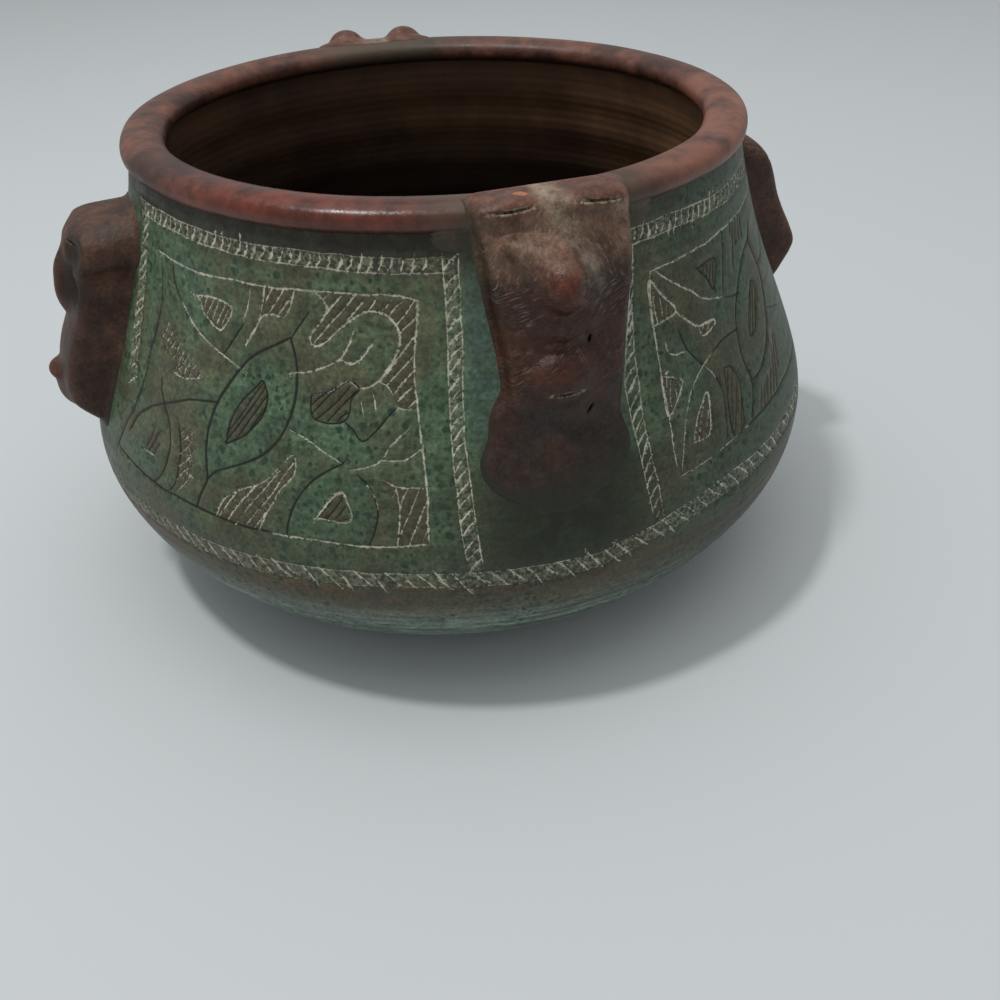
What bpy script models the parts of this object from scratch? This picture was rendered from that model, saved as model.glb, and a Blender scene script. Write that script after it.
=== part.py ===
"""An earthenware face vessel: a thrown bowl with a coiled rim and four modelled faces luted to its wall.

The axis of the bowl is Z and its base stands on Z = 0. The front face looks along -Y, and the others follow
at quarter turns. Every applied piece is cut to the surface that it was pressed on, with a luting gap between.
"""

import math
from dataclasses import dataclass

import bmesh
import bpy
from mathutils import Matrix, Vector

MM = 0.001

# Thrown bowl, measured over its outer side
HEIGHT = 152 * MM
NECK_RADIUS = 98.4 * MM
BELLY_RADIUS = 127 * MM
BELLY_HEIGHT = 55.4 * MM
BASE_RADIUS = 76 * MM
WALL = 8 * MM
FLOOR = 9 * MM
BASE_EDGE = 2 * MM

# Handles of the two curves that the outline is drawn with: neck to belly, and belly to base
NECK_FLARE = 7.8 * MM
NECK_LENGTH = 41.4 * MM
SHOULDER_ROUND = 18.6 * MM
BELLY_ROUND = 22 * MM
HEEL_WIDTH = 31.3 * MM
HEEL_HEIGHT = 9.3 * MM

# Throwing rings on the inside of the wall
RING_COUNT = 11
RING_DEPTH = 0.7 * MM

# Coiled rim
RIM_WIDTH = 13.6 * MM
RIM_HEIGHT = 8.4 * MM
RIM_CROWN = 4.8 * MM
RIM_OVERHANG = 1.6 * MM
RIM_SQUARENESS = 2.3

# Luting gap between pieces, and how deep a face pad's blank reaches into the wall before it is cut to fit
LUTING_GAP = 0.3 * MM
PAD_ROOT = 6 * MM

# Face pad section: share of the half width that is flat, and how far its front falls away at the sides
PAD_FLAT = 0.62
PAD_CROWN = 3 * MM

# Nose: a drop of clay, narrow at the top, whose tip hangs forward
NOSE_HALF_WIDTH = 11 * MM
NOSE_HALF_HEIGHT = 13 * MM
NOSE_DEPTH = 10 * MM
NOSE_TAPER = 0.3
NOSE_DROOP = 2.5 * MM

# Mouth: an oval cushion with a slit for the lips
MOUTH_HALF_WIDTH = 10 * MM
MOUTH_HALF_HEIGHT = 8 * MM
MOUTH_DEPTH = 6.5 * MM
MOUTH_SLIT = 9 * MM
MOUTH_DROP = 1.5 * MM

# Eyes: two domed lids with a slit each
EYE_SPREAD = 10.8 * MM
EYE_HALF_WIDTH = 7 * MM
EYE_HALF_HEIGHT = 5 * MM
EYE_DEPTH = 4.6 * MM
EYE_SLIT = 11 * MM
EYE_DROP = 0.5 * MM

# Slits are cut with a thin oval blade
SLIT_OPENING = 1.6 * MM
SLIT_DEPTH = 2.6 * MM

# Fineness of the round work
TURNS = 56
SHOULDER_STEPS = 13
HEEL_STEPS = 8
RIM_STEPS = 11
LUMP_SEGMENTS = 16
LUMP_RINGS = 9
LID_SEGMENTS = 12
LID_RINGS = 7
BLADE_SEGMENTS = 10
BLADE_RINGS = 4


@dataclass
class Level:
    """One level of a face pad: drop below the vessel's top, half width, and reach out from the wall."""

    drop: float
    half_width: float
    reach: float


@dataclass
class FaceKind:
    """How a face sits on the wall. Drops are from the vessel's top, and reaches are from the wall."""

    pad: dict
    eye_drop: float
    eye_reach: float
    nose_drop: float
    nose_reach: float
    mouth_drop: float
    mouth_reach: float

    def levels(self):
        return list(self.pad.values())


def level(drop, half_width, reach):
    """A face pad's level from millimetres."""
    return Level(drop * MM, half_width * MM, reach * MM)


# A high face laps over the rim, is shallow, and spreads into shoulders at its foot.
HIGH_FACE = FaceKind(
    pad={
        "top": level(drop=0.5, half_width=16.5, reach=3.2),
        "lids": level(drop=5, half_width=18.5, reach=6.8),
        "bridge": level(drop=12, half_width=18.5, reach=9),
        "nose": level(drop=22, half_width=17.5, reach=9.2),
        "cheek": level(drop=34, half_width=16.5, reach=8.8),
        "lips": level(drop=46, half_width=15.5, reach=7),
        "chin": level(drop=55, half_width=16, reach=4),
        "shoulder": level(drop=65, half_width=25.5, reach=3.4),
        "hem": level(drop=73, half_width=25, reach=2.6),
        "foot": level(drop=81, half_width=19, reach=-1.5),
    },
    eye_drop=2 * MM,
    eye_reach=2.6 * MM,
    nose_drop=21.5 * MM,
    nose_reach=16 * MM,
    mouth_drop=46.5 * MM,
    mouth_reach=10.2 * MM,
)
# A low face hangs on the neck under the rim, stands far out, and ends in a chin over the belly.
LOW_FACE = FaceKind(
    pad={
        "top": level(drop=16.2, half_width=16, reach=12),
        "lids": level(drop=20, half_width=17.5, reach=18),
        "bridge": level(drop=30, half_width=18, reach=16.6),
        "nose": level(drop=41, half_width=17.5, reach=14.8),
        "cheek": level(drop=53, half_width=17, reach=14.6),
        "lips": level(drop=66, half_width=17, reach=15),
        "chin": level(drop=75, half_width=17.5, reach=12.4),
        "throat": level(drop=83, half_width=17.5, reach=4.6),
        "foot": level(drop=90, half_width=16.5, reach=-1.5),
    },
    eye_drop=21.5 * MM,
    eye_reach=15.4 * MM,
    nose_drop=39.5 * MM,
    nose_reach=21 * MM,
    mouth_drop=69.5 * MM,
    mouth_reach=18.6 * MM,
)

# Quarter turns about the axis, counted from the front
FACES = (
    ("front", 0, HIGH_FACE),
    ("right", 1, LOW_FACE),
    ("back", 2, HIGH_FACE),
    ("left", 3, LOW_FACE),
)

# Colours of the burnished slips
GREEN_SLIP = (0.115, 0.135, 0.098, 1)
RED_SLIP = (0.235, 0.085, 0.055, 1)
BROWN_CLAY = (0.12, 0.065, 0.05, 1)


def clear_scene():
    for item in list(bpy.data.objects):
        bpy.data.objects.remove(item, do_unlink=True)


def new_collection(name):
    made = bpy.data.collections.new(name)
    bpy.context.scene.collection.children.link(made)
    return made


def new_material(name, colour, roughness):
    made = bpy.data.materials.new(name)
    made.use_nodes = True
    shader = made.node_tree.nodes["Principled BSDF"]
    shader.inputs["Base Color"].default_value = colour
    shader.inputs["Roughness"].default_value = roughness
    shader.inputs["Metallic"].default_value = 0
    return made


def bezier(start, leave, arrive, end, steps):
    """Points of a cubic curve from start to end, both included."""
    found = []
    for i in range(steps + 1):
        t = i / steps
        weights = ((1 - t) ** 3, 3 * t * (1 - t) ** 2, 3 * t * t * (1 - t), t**3)
        corners = (start, leave, arrive, end)
        found.append(tuple(sum(w * p[k] for w, p in zip(weights, corners)) for k in (0, 1)))
    return found


def seat_height():
    """Level of the wall's top edge, which carries the rim coil."""
    return HEIGHT - RIM_HEIGHT - LUTING_GAP


def wall_outline():
    """Outer side of the wall, from its top edge down to the edge of the base, as (radius, height) points."""
    top = (NECK_RADIUS, seat_height())
    belly = (BELLY_RADIUS, BELLY_HEIGHT)
    below_neck = (NECK_RADIUS + NECK_FLARE, seat_height() - NECK_LENGTH)
    above_belly = (BELLY_RADIUS, BELLY_HEIGHT + SHOULDER_ROUND)
    below_belly = (BELLY_RADIUS, BELLY_HEIGHT - BELLY_ROUND)
    heel = (BASE_RADIUS + HEEL_WIDTH, HEEL_HEIGHT)
    edge = (BASE_RADIUS + BASE_EDGE, BASE_EDGE / 2)
    shoulder = bezier(top, below_neck, above_belly, belly, SHOULDER_STEPS)
    return shoulder + bezier(belly, below_belly, heel, edge, HEEL_STEPS)[1:]


def wall_radius(height):
    """Outer radius of the wall at a height, level with the neck above it."""
    points = wall_outline()
    for (r0, z0), (r1, z1) in zip(points, points[1:]):
        if z1 <= height <= z0:
            return r0 + (r1 - r0) * (z0 - height) / (z0 - z1)
    return NECK_RADIUS


def outward(points, i):
    """Unit normal of a line of (radius, height) points at point i, on the side away from the axis."""
    before = points[max(i - 1, 0)]
    after = points[min(i + 1, len(points) - 1)]
    along = Vector((after[0] - before[0], after[1] - before[1])).normalized()
    return Vector((-along.y, along.x))


def offset(points, distance):
    """The line of points moved out by a distance, or in by a negative one, along its normals."""
    return [tuple(Vector(p) + outward(points, i) * distance) for i, p in enumerate(points)]


def evenly_along(points, count):
    """Points at equal steps along a line of points, with both ends."""
    lengths = [0]
    for a, b in zip(points, points[1:]):
        lengths.append(lengths[-1] + math.dist(a, b))
    found = []
    for i in range(count):
        wanted = lengths[-1] * i / (count - 1)
        k = max(j for j in range(len(points) - 1) if lengths[j] <= wanted)
        share = (wanted - lengths[k]) / (lengths[k + 1] - lengths[k])
        found.append(tuple(a + (b - a) * share for a, b in zip(points[k], points[k + 1])))
    return found


def inner_outline():
    """Inner side of the wall, from the middle of the floor up to the top edge, with its throwing rings."""
    outer = evenly_along(wall_outline(), 2 * RING_COUNT)
    inner = [(NECK_RADIUS - WALL, seat_height())]
    for i, point in enumerate(outer[1:], 1):
        thickness = WALL + (RING_DEPTH if i % 2 else 0)
        moved = Vector(point) - outward(outer, i) * thickness
        if moved.y > FLOOR + WALL / 2:
            inner.append(tuple(moved))
    corner = inner[-1]
    inner.append((corner[0] - (corner[1] - FLOOR) * 2, FLOOR))
    inner.append((0, FLOOR))
    return inner[::-1]


def rim_section():
    """Section of the rim coil from its inner foot over the crown to its outer foot, as (radius, height)."""
    middle = NECK_RADIUS + RIM_OVERHANG - RIM_WIDTH / 2
    level = HEIGHT - RIM_CROWN
    drop = (RIM_HEIGHT - RIM_CROWN) / RIM_CROWN
    foot = -math.asin(drop ** (RIM_SQUARENESS / 2))
    power = 2 / RIM_SQUARENESS
    found = []
    for i in range(RIM_STEPS + 1):
        turn = math.pi - foot - (math.pi - 2 * foot) * i / RIM_STEPS
        across = math.copysign(abs(math.cos(turn)) ** power, math.cos(turn))
        up = math.copysign(abs(math.sin(turn)) ** power, math.sin(turn))
        found.append((middle + across * RIM_WIDTH / 2, level + up * RIM_CROWN))
    return found


def seat_outline():
    """Outer side of the whole vessel, rim and wall, moved out by the luting gap, with both ends on the axis."""
    section = rim_section()
    crown = max(range(len(section)), key=lambda i: section[i][1])
    skin = offset(section[crown:] + wall_outline() + [(BASE_RADIUS, 0)], LUTING_GAP)
    return [(0, skin[0][1])] + skin + [(0, skin[-1][1])]


def place(obj, collection, material=None):
    collection.objects.link(obj)
    if material:
        obj.data.materials.append(material)
    return obj


def turned(name, points, collection, material=None, ring=False):
    """A body turned about Z from (radius, height) points that run down its outer side."""
    edges = [(i, i + 1) for i in range(len(points) - 1)]
    if ring:
        edges.append((len(points) - 1, 0))
    mesh = bpy.data.meshes.new(name)
    mesh.from_pydata([(r, 0, z) for r, z in points], edges, [])
    obj = place(bpy.data.objects.new(name, mesh), collection, material)
    screw = obj.modifiers.new("turn", "SCREW")
    screw.axis = "Z"
    screw.angle = math.tau
    screw.steps = TURNS
    screw.render_steps = TURNS
    screw.use_merge_vertices = True
    screw.merge_threshold = 0.00001
    screw.use_smooth_shade = True
    return obj


def mesh_object(name, cage, collection, material=None):
    mesh = bpy.data.meshes.new(name)
    cage.to_mesh(mesh)
    cage.free()
    mesh.shade_smooth()
    return place(bpy.data.objects.new(name, mesh), collection, material)


def hide_as_cutter(obj):
    obj.hide_render = True
    obj.display_type = "WIRE"
    return obj


def cut(obj, cutter):
    boolean = obj.modifiers.new("cut " + cutter.name, "BOOLEAN")
    boolean.operation = "DIFFERENCE"
    boolean.object = cutter


def soften(obj):
    smooth = obj.modifiers.new("soften", "SUBSURF")
    smooth.levels = 1
    smooth.render_levels = 1


def swell(obj, distance):
    """Grows a cutter by a distance along its normals."""
    grow = obj.modifiers.new("swell", "DISPLACE")
    grow.strength = distance
    grow.mid_level = 0


def pad_cage(kind):
    """Coarse cage of a face pad: a box with a loop at each level, set out from the wall."""
    cage = bmesh.new()
    bmesh.ops.create_cube(cage, size=2)
    levels = kind.levels()
    last = len(levels) - 1
    loops = [((0, 0, 1 - 2 * i / last), (0, 0, 1)) for i in range(1, last)]
    loops += [((side * PAD_FLAT, 0, 0), (1, 0, 0)) for side in (-1, 1)]
    loops.append(((0, 0, 0), (0, 1, 0)))
    for point, normal in loops:
        everything = cage.verts[:] + cage.edges[:] + cage.faces[:]
        bmesh.ops.bisect_plane(cage, geom=everything, plane_co=point, plane_no=normal)
    for vert in cage.verts:
        here = levels[round((1 - vert.co.z) / 2 * last)]
        height = HEIGHT - here.drop
        wall = wall_radius(height)
        front = wall + here.reach - PAD_CROWN * vert.co.x**2
        back = min(wall, front) - PAD_ROOT
        out = back + (front - back) * (1 - vert.co.y) / 2
        vert.co = (vert.co.x * here.half_width, -out, height)
    return cage


def lump_cage(half_width, depth, half_height, segments=LUMP_SEGMENTS, rings=LUMP_RINGS):
    """An egg of clay about its own middle: X across, -Y out from the wall, Z up."""
    cage = bmesh.new()
    bmesh.ops.create_uvsphere(cage, u_segments=segments, v_segments=rings, radius=1)
    bmesh.ops.scale(cage, vec=(half_width, depth, half_height), verts=cage.verts)
    return cage


def nose_cage():
    cage = lump_cage(NOSE_HALF_WIDTH, NOSE_DEPTH, NOSE_HALF_HEIGHT)
    for vert in cage.verts:
        up = vert.co.z / NOSE_HALF_HEIGHT
        vert.co.x *= 1 - NOSE_TAPER * up
        vert.co.y += NOSE_DROOP * up
    return cage


def move(cage, across, out, height):
    bmesh.ops.translate(cage, vec=(across, -out, height), verts=cage.verts)
    return cage


def blade(name, length, across, out, height, workshop):
    """Thin oval cutter for a slit, with its middle on the surface that it cuts."""
    cage = lump_cage(length / 2, SLIT_DEPTH, SLIT_OPENING / 2, BLADE_SEGMENTS, BLADE_RINGS)
    return hide_as_cutter(mesh_object(name, move(cage, across, out, height), workshop))


def build_face(name, turn, kind, vessel, workshop, seat, clay):
    """One face: a pad cut to the vessel, and on it the nose, the mouth and the two eyelids."""
    frame = bpy.data.objects.new(name + "_face_frame", None)
    vessel.objects.link(frame)
    frame.rotation_euler.z = turn * math.pi / 2

    pad = mesh_object(name + "_face_pad", pad_cage(kind), vessel, clay)
    soften(pad)
    cut(pad, seat)
    pad_seat = hide_as_cutter(mesh_object(name + "_pad_seat", pad_cage(kind), workshop))
    soften(pad_seat)
    swell(pad_seat, LUTING_GAP)
    pieces = [pad, pad_seat]

    height = HEIGHT - kind.nose_drop
    out = wall_radius(height) + kind.nose_reach - NOSE_DEPTH
    nose = mesh_object(name + "_face_nose", move(nose_cage(), 0, out, height), vessel, clay)
    nose_seat = hide_as_cutter(mesh_object(name + "_nose_seat", move(nose_cage(), 0, out, height), workshop))
    swell(nose_seat, LUTING_GAP)
    cut(nose, pad_seat)
    pieces += [nose, nose_seat]

    height = HEIGHT - kind.mouth_drop
    out = wall_radius(height) + kind.mouth_reach
    lips = move(lump_cage(MOUTH_HALF_WIDTH, MOUTH_DEPTH, MOUTH_HALF_HEIGHT), 0, out - MOUTH_DEPTH, height)
    mouth = mesh_object(name + "_face_mouth", lips, vessel, clay)
    slit = blade(name + "_mouth_slit", MOUTH_SLIT, 0, out, height - MOUTH_DROP, workshop)
    cut(mouth, pad_seat)
    cut(mouth, slit)
    pieces += [mouth, slit]

    height = HEIGHT - kind.eye_drop
    out = wall_radius(height) + kind.eye_reach
    for side, across in (("left", -EYE_SPREAD), ("right", EYE_SPREAD)):
        lid = lump_cage(EYE_HALF_WIDTH, EYE_DEPTH, EYE_HALF_HEIGHT, LID_SEGMENTS, LID_RINGS)
        eye = mesh_object(f"{name}_face_{side}_eye", move(lid, across, out, height), vessel, clay)
        slit = blade(f"{name}_{side}_eye_slit", EYE_SLIT, across, out + EYE_DEPTH, height - EYE_DROP, workshop)
        for cutter in (pad_seat, seat, nose_seat, slit):
            cut(eye, cutter)
        pieces += [eye, slit]

    for piece in pieces:
        piece.parent = frame


def main():
    clear_scene()
    vessel = new_collection("face_vessel")
    workshop = new_collection("cutters")
    green = new_material("green_slip", GREEN_SLIP, 0.5)
    red = new_material("red_slip", RED_SLIP, 0.35)
    brown = new_material("brown_clay", BROWN_CLAY, 0.45)

    body = inner_outline() + wall_outline() + [(BASE_RADIUS, 0), (0, 0)]
    turned("vessel_body", body, vessel, green)
    turned("rim_coil", rim_section(), vessel, red, ring=True)
    seat = hide_as_cutter(turned("vessel_seat", seat_outline(), workshop))
    for name, turn, kind in FACES:
        build_face(name, turn, kind, vessel, workshop, seat, brown)


main()
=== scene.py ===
"""Face vessel: a burnished and incised earthenware bowl with a rolled rim and four modelled faces."""

import math

import bpy
import numpy as np
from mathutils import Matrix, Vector, kdtree
from mathutils.geometry import delaunay_2d_cdt


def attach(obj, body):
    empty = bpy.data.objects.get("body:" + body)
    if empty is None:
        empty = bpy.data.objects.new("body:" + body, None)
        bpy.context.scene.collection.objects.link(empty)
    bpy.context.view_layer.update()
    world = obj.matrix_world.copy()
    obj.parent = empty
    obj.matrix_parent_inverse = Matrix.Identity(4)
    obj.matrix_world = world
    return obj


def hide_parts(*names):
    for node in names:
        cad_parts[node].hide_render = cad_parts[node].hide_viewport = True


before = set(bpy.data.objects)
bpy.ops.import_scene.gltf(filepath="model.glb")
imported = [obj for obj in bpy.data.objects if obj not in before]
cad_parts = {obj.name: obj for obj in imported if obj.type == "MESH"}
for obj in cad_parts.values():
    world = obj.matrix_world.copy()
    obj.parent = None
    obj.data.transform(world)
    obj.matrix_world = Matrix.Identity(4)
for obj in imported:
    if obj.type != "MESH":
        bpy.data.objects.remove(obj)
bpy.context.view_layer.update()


# Bowl wall: earthenware thrown on a wheel, coated with green slip, burnished with a stone, and drawn on with
# a point before firing. Its outline of (radius, height) runs from the rim's seat down to the edge of the
# base. All sizes here are millimetres, and MM turns them to metres.
MM = 0.001
SEAT = 143.6
NECK = 98.4
BELLY = (127, 55.4)
FOOT = (78, 1)


def stretch(a, b, c, d, count=240):
    """Points of a curve that leaves a towards b and comes to d from c."""
    t = np.linspace(0, 1, count)[:, None]
    a, b, c, d = (np.array(p, float) for p in (a, b, c, d))
    return (1 - t) ** 3 * a + 3 * t * (1 - t) ** 2 * b + 3 * t * t * (1 - t) * c + t**3 * d


shoulder = stretch((NECK, SEAT), (106.2, 102.2), (127, 74), BELLY)
heel = stretch(BELLY, (127, 33.3), (107.3, 9.3), FOOT)
outline = np.vstack([[(NECK - 1, SEAT + 4)], shoulder, heel[1:], [(FOOT[0] - 2, 0)]])
run = np.r_[0, np.cumsum(np.hypot(*np.diff(outline, axis=0).T))]
slope = np.gradient(outline, run, axis=0)
END = run[-1]


def radius_at(s):
    """The wall's radius at a run down the outline."""
    return np.interp(s, run, outline[:, 0])


def height_at(s):
    """The wall's height at a run down the outline."""
    return np.interp(s, run, outline[:, 1])


def run_at(z):
    """The run down the outline to a height."""
    return np.interp(z, outline[::-1, 1], run[::-1])


def out_of_wall(s):
    """The wall's outward direction at a run, as its parts along radius and height."""
    return -np.interp(s, run, slope[:, 1]), np.interp(s, run, slope[:, 0])


def uneven(turn, z):
    """How far a hand-thrown wall strays from true round, out from the axis."""
    sway = 0.3 * np.sin(2 * turn + 0.7) + 0.2 * np.sin(3 * turn + 2.1)
    dents = 0.12 * np.sin(9 * turn + 0.05 * z) + 0.08 * np.sin(14 * turn - 0.11 * z + 1.3)
    return sway * np.clip(z / 140, 0, 1) + dents * np.clip(z / 30, 0, 1)


def on_wall(turn, s, depth):
    """Points on the wall in metres, at an angle from the front and a run down it, sunk by a depth."""
    nr, nz = out_of_wall(s)
    z = height_at(s)
    r = radius_at(s) + uneven(turn, z) - depth * nr
    return np.stack([r * np.sin(turn), -r * np.cos(turn), z - depth * nz], -1) * MM


def through(points, step=1.0):
    """A smooth line through points, with its points a step apart."""
    p = np.array(points, float)
    ends = np.vstack([2 * p[0] - p[1], p, 2 * p[-1] - p[-2]])
    t = np.linspace(0, 1, 20, endpoint=False)[:, None]
    dense = []
    for a, b, c, d in zip(ends, ends[1:], ends[2:], ends[3:]):
        curve = 2 * b + (c - a) * t + (2 * a - 5 * b + 4 * c - d) * t**2 + (3 * b - a - 3 * c + d) * t**3
        dense.append(0.5 * curve)
    dense = np.vstack(dense + [p[-1:]])
    far = np.r_[0, np.cumsum(np.linalg.norm(np.diff(dense, axis=0), axis=1))]
    at = np.linspace(0, far[-1], max(3, int(far[-1] / step) + 1))
    return np.stack([np.interp(at, far, dense[:, k]) for k in range(dense.shape[1])], -1)


# Strokes: grooves about 1 mm wide, drawn by hand with a point, so they waver and their pressure changes.
# A pale stroke is scratched through the dry slip. A dark one is drawn in soft clay and slipped over.
# Each is kept as points on the wall unrolled at the radius ROUND, its half widths, its kind and its depth.
ROUND = 112.0
# depth, and spread of the lips
GROOVES = {"pale": (0.36, 1.25), "dark": (0.55, 1.05)}
WAVER, PRESS = 0.16, (0.72, 1.15)
hand = np.random.default_rng(7)
strokes = []


def stroke(points, width, kind):
    """Draws one stroke along a line on the unrolled wall."""
    line = through(points)
    count = len(line)
    knots = np.linspace(0, count - 1, max(3, count // 5))
    for k in (0, 1):
        line[:, k] += np.interp(np.arange(count), knots, hand.normal(0, WAVER, len(knots)))
    press = np.interp(np.arange(count), knots, hand.uniform(*PRESS, len(knots)))
    ease = np.minimum(np.arange(count), np.arange(count)[::-1])
    press *= np.clip(0.45 + 0.4 * ease, 0, 1)
    depth, spread = GROOVES[kind]
    strokes.append((line, 0.5 * width * spread * press, kind, depth))


# Panels: four fields between the faces, each with a frame, leaves, arches and patches scraped to the brown
# body. The ornament is common leaf-and-arch work. Points are (across, up) on the unrolled wall, from the
# middle of a field and from its foot line, 9 mm above the widest part of the bowl.
FOOT_LINE = run_at(64.7)
SHORTEST, BORDER = 1.6, 0.9
scraped, chalked, slipped, framed = [], [], [], []


def field(middle, flip=1):
    """Gives functions that lay points on the wall, draw a line and hatch a patch in one field."""

    def lay(points):
        p = np.array(points, float)
        return np.stack([middle * ROUND + flip * p[:, 0], FOOT_LINE - p[:, 1]], -1)

    def draw(points, width=0.95, kind="pale"):
        stroke(lay(points), width, kind)

    def hatch(edge, angle, gap, width, kind="pale", border=None):
        """Scrapes a closed patch bare and fills it with slanting strokes."""
        edge = np.array(edge, float)
        closed = np.vstack([edge, edge[:1]])
        scraped.append(lay(closed))
        along = np.array([math.cos(math.radians(angle)), math.sin(math.radians(angle))])
        square = np.array([-along[1], along[0]])
        a, b = edge, np.roll(edge, -1, axis=0)
        place = (edge @ square).min() + gap * 0.6
        while place < (edge @ square).max() - gap * 0.2:
            da, db = a @ square - place, b @ square - place
            cross = da * db < 0
            share = (da[cross] / (da[cross] - db[cross]))[:, None]
            hits = np.sort((a[cross] + (b[cross] - a[cross]) * share) @ along)
            for lo, hi in zip(hits[::2], hits[1::2]):
                if hi - lo > SHORTEST:
                    start = along * (lo + hand.uniform(-0.3, 0.5)) + square * (place + hand.normal(0, 0.2))
                    stop = along * (hi - hand.uniform(-0.3, 0.5)) + square * (place + hand.normal(0, 0.2))
                    bend = (start + stop) / 2 + hand.normal(0, 0.15, 2)
                    draw([start, bend, stop], width, kind)
            place += gap * hand.uniform(0.85, 1.15)
        if border:
            draw(closed, BORDER, border)

    return lay, draw, hatch


def leaf_panel(middle, flip):
    """The panel to the left of the front face, and the two at the back."""
    lay, draw, hatch = field(middle, flip)
    framed.append(lay([(-47, 68), (47.6, 68), (46, 50), (48.2, 2), (6, 0.8), (-58, 2.8), (-49, 30), (-45, 58),
                       (-47, 68)]))
    slipped.append(lay([(-15, 10.4), (-16.6, 23), (-14, 34.5), (-5.6, 46.4), (9.6, 56), (12, 45), (9.2, 31.6),
                        (0.4, 20.4), (-15, 10.4)]))
    slipped.append(lay([(-40, 68), (-34.2, 58), (-20, 49.6), (-13.4, 48), (-7, 57.6), (-4.6, 68), (-40, 68)]))
    slipped.append(lay([(11, 1), (13.2, 11), (17, 17.4), (25.7, 23.8), (33, 18), (35.6, 10.4), (33, 1),
                        (11, 1)]))
    slipped.append(lay([(-52.6, 12), (-44, 22.4), (-36, 26), (-31, 18), (-31, 12), (-36.4, 1.5), (-58, 2.8),
                        (-52.6, 12)]))
    slipped.append(lay([(10, 31), (25.7, 24), (36.5, 25.5), (31.3, 30.3), (26.2, 35.3), (17.6, 35), (12, 45),
                        (10, 31)]))
    # frame
    draw([(-50, 68.6), (-40, 68.1), (-28, 67.7), (-12, 68.3), (4, 68.8), (16, 69.2), (30, 69.4), (42, 69.2),
          (48.6, 68)])
    draw([(47.6, 68), (46.6, 58), (45.9, 50), (46.4, 41), (47.3, 30), (47.9, 18), (48.2, 2.6)])
    draw([(47.4, 1.9), (40, 1.1), (32, 0.7), (20, 0.9), (6, 0.8)])
    draw([(6, 0.8), (-9, 1.0), (-22, 1.3), (-36, 1.4), (-48, 2.2), (-58, 2.8)], 1.2, "dark")
    draw([(-47, 66), (-45, 58), (-45.6, 50), (-48, 40), (-49, 30), (-52, 20), (-56.5, 11), (-59.5, 3)], 1.1,
         "dark")
    # leaf with a hatched heart
    draw([(-18, 1.4), (-16.6, 6), (-15, 10.4), (-15.6, 15), (-16.6, 23), (-15.8, 29), (-14, 34.5),
          (-10.6, 40.4), (-5.6, 46.4), (0, 51), (9.6, 56)], 1.25, "dark")
    draw([(-15, 10.4), (-11.6, 14.2), (-5.6, 17.2), (0.4, 20.4), (5.4, 25.4), (9.2, 31.6), (11.4, 38.4),
          (12, 45), (11.2, 51), (9.6, 56)], 1.25, "dark")
    draw([(9.6, 56), (12, 59.6), (15.6, 63.6)], 0.7, "dark")
    heart = through([(-9.6, 22.6), (-9.2, 28.4), (-5.8, 35.6), (1, 43.6)], 2).tolist()
    heart += through([(1, 43.6), (2.9, 39), (1.6, 33.2), (-2.8, 27.6), (-9.6, 22.6)], 2).tolist()[1:-1]
    hatch(heart, 58, 1.5, 0.7, "dark", "dark")
    # petal that hangs from the frame, with a hatched drop in it
    draw([(-40, 68), (-38.2, 62.4), (-34.2, 58)], 0.9, "dark")
    draw([(-34.2, 58), (-28, 53.4), (-20, 49.6), (-13, 47.2), (-6.4, 45)], 0.8)
    draw([(-4.6, 68), (-5.4, 62.6), (-7, 57.6)], 0.8)
    draw([(-7, 57.6), (-9.8, 53.2), (-13.4, 48)], 0.9, "dark")
    hatch([(-28, 61.2), (-20, 62.1), (-13, 61.6), (-11.5, 60.4), (-12.6, 57.4), (-15.8, 54), (-22.6, 57),
           (-25, 60)], 64, 2.3, 0.6, "pale", "pale")
    # tongue under the frame
    tongue = [(0.6, 68.6), (-0.3, 63), (-2, 58), (-5.5, 52.4), (-2.6, 57.2), (0, 60.8), (4, 61.4), (7, 61.2),
              (9.2, 64), (10.6, 68.8)]
    hatch(tongue, 52, 2.6, 0.75)
    draw(tongue, 0.8)
    # curled tendril with a hatched corner
    draw([(11, 47), (16, 48), (21, 50), (24.6, 52), (27, 55.2), (29, 60)])
    draw([(24.6, 52), (28, 51.2), (30.6, 52.2), (33, 55), (35, 57.2)])
    curl = [(17.6, 69.2), (20, 67), (20.8, 64.4), (18.2, 60.6), (16, 57.4), (16.2, 55.6), (17.8, 54.8),
            (20.6, 56), (24, 59.4), (28, 62.4), (33, 64.8), (37, 64.7), (40, 63), (42, 60), (42, 56.4),
            (40.4, 53), (38, 49.2), (36, 47)]
    draw(curl + [(33.4, 45.3), (30.4, 44.7)])
    hatch(curl + [(40, 43.4), (41, 40.2), (46.2, 39.6), (45.9, 50), (46.6, 58), (47.6, 68), (30, 69.2)], 48,
          2.9, 0.8)
    draw([(36, 47), (38.4, 45.4), (40, 43.4)], 0.7)
    draw([(40.6, 40.3), (43, 39.4), (46.3, 39.6)], 0.7)
    # bud with hatched sepals
    hatch([(16.5, 41.5), (22, 43), (27, 46.3), (30.4, 44.7), (28.2, 41.6), (26.2, 35.4), (17.6, 35)], 46, 2.0,
          0.7, "dark", "dark")
    draw([(16.5, 41.5), (22, 43), (27, 46.3), (30.4, 44.7)], 0.6)
    draw([(26.2, 35.3), (28.6, 33.4), (31.3, 30.3), (34.6, 33), (38, 37), (41, 40)], 0.8, "dark")
    for x, y, long in ((31, 41.2, 3.6), (34.4, 43.4, 5.2)):
        draw([(x, y), (x + 0.4, y - long / 2), (x + 0.8, y - long)], 0.7)
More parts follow.
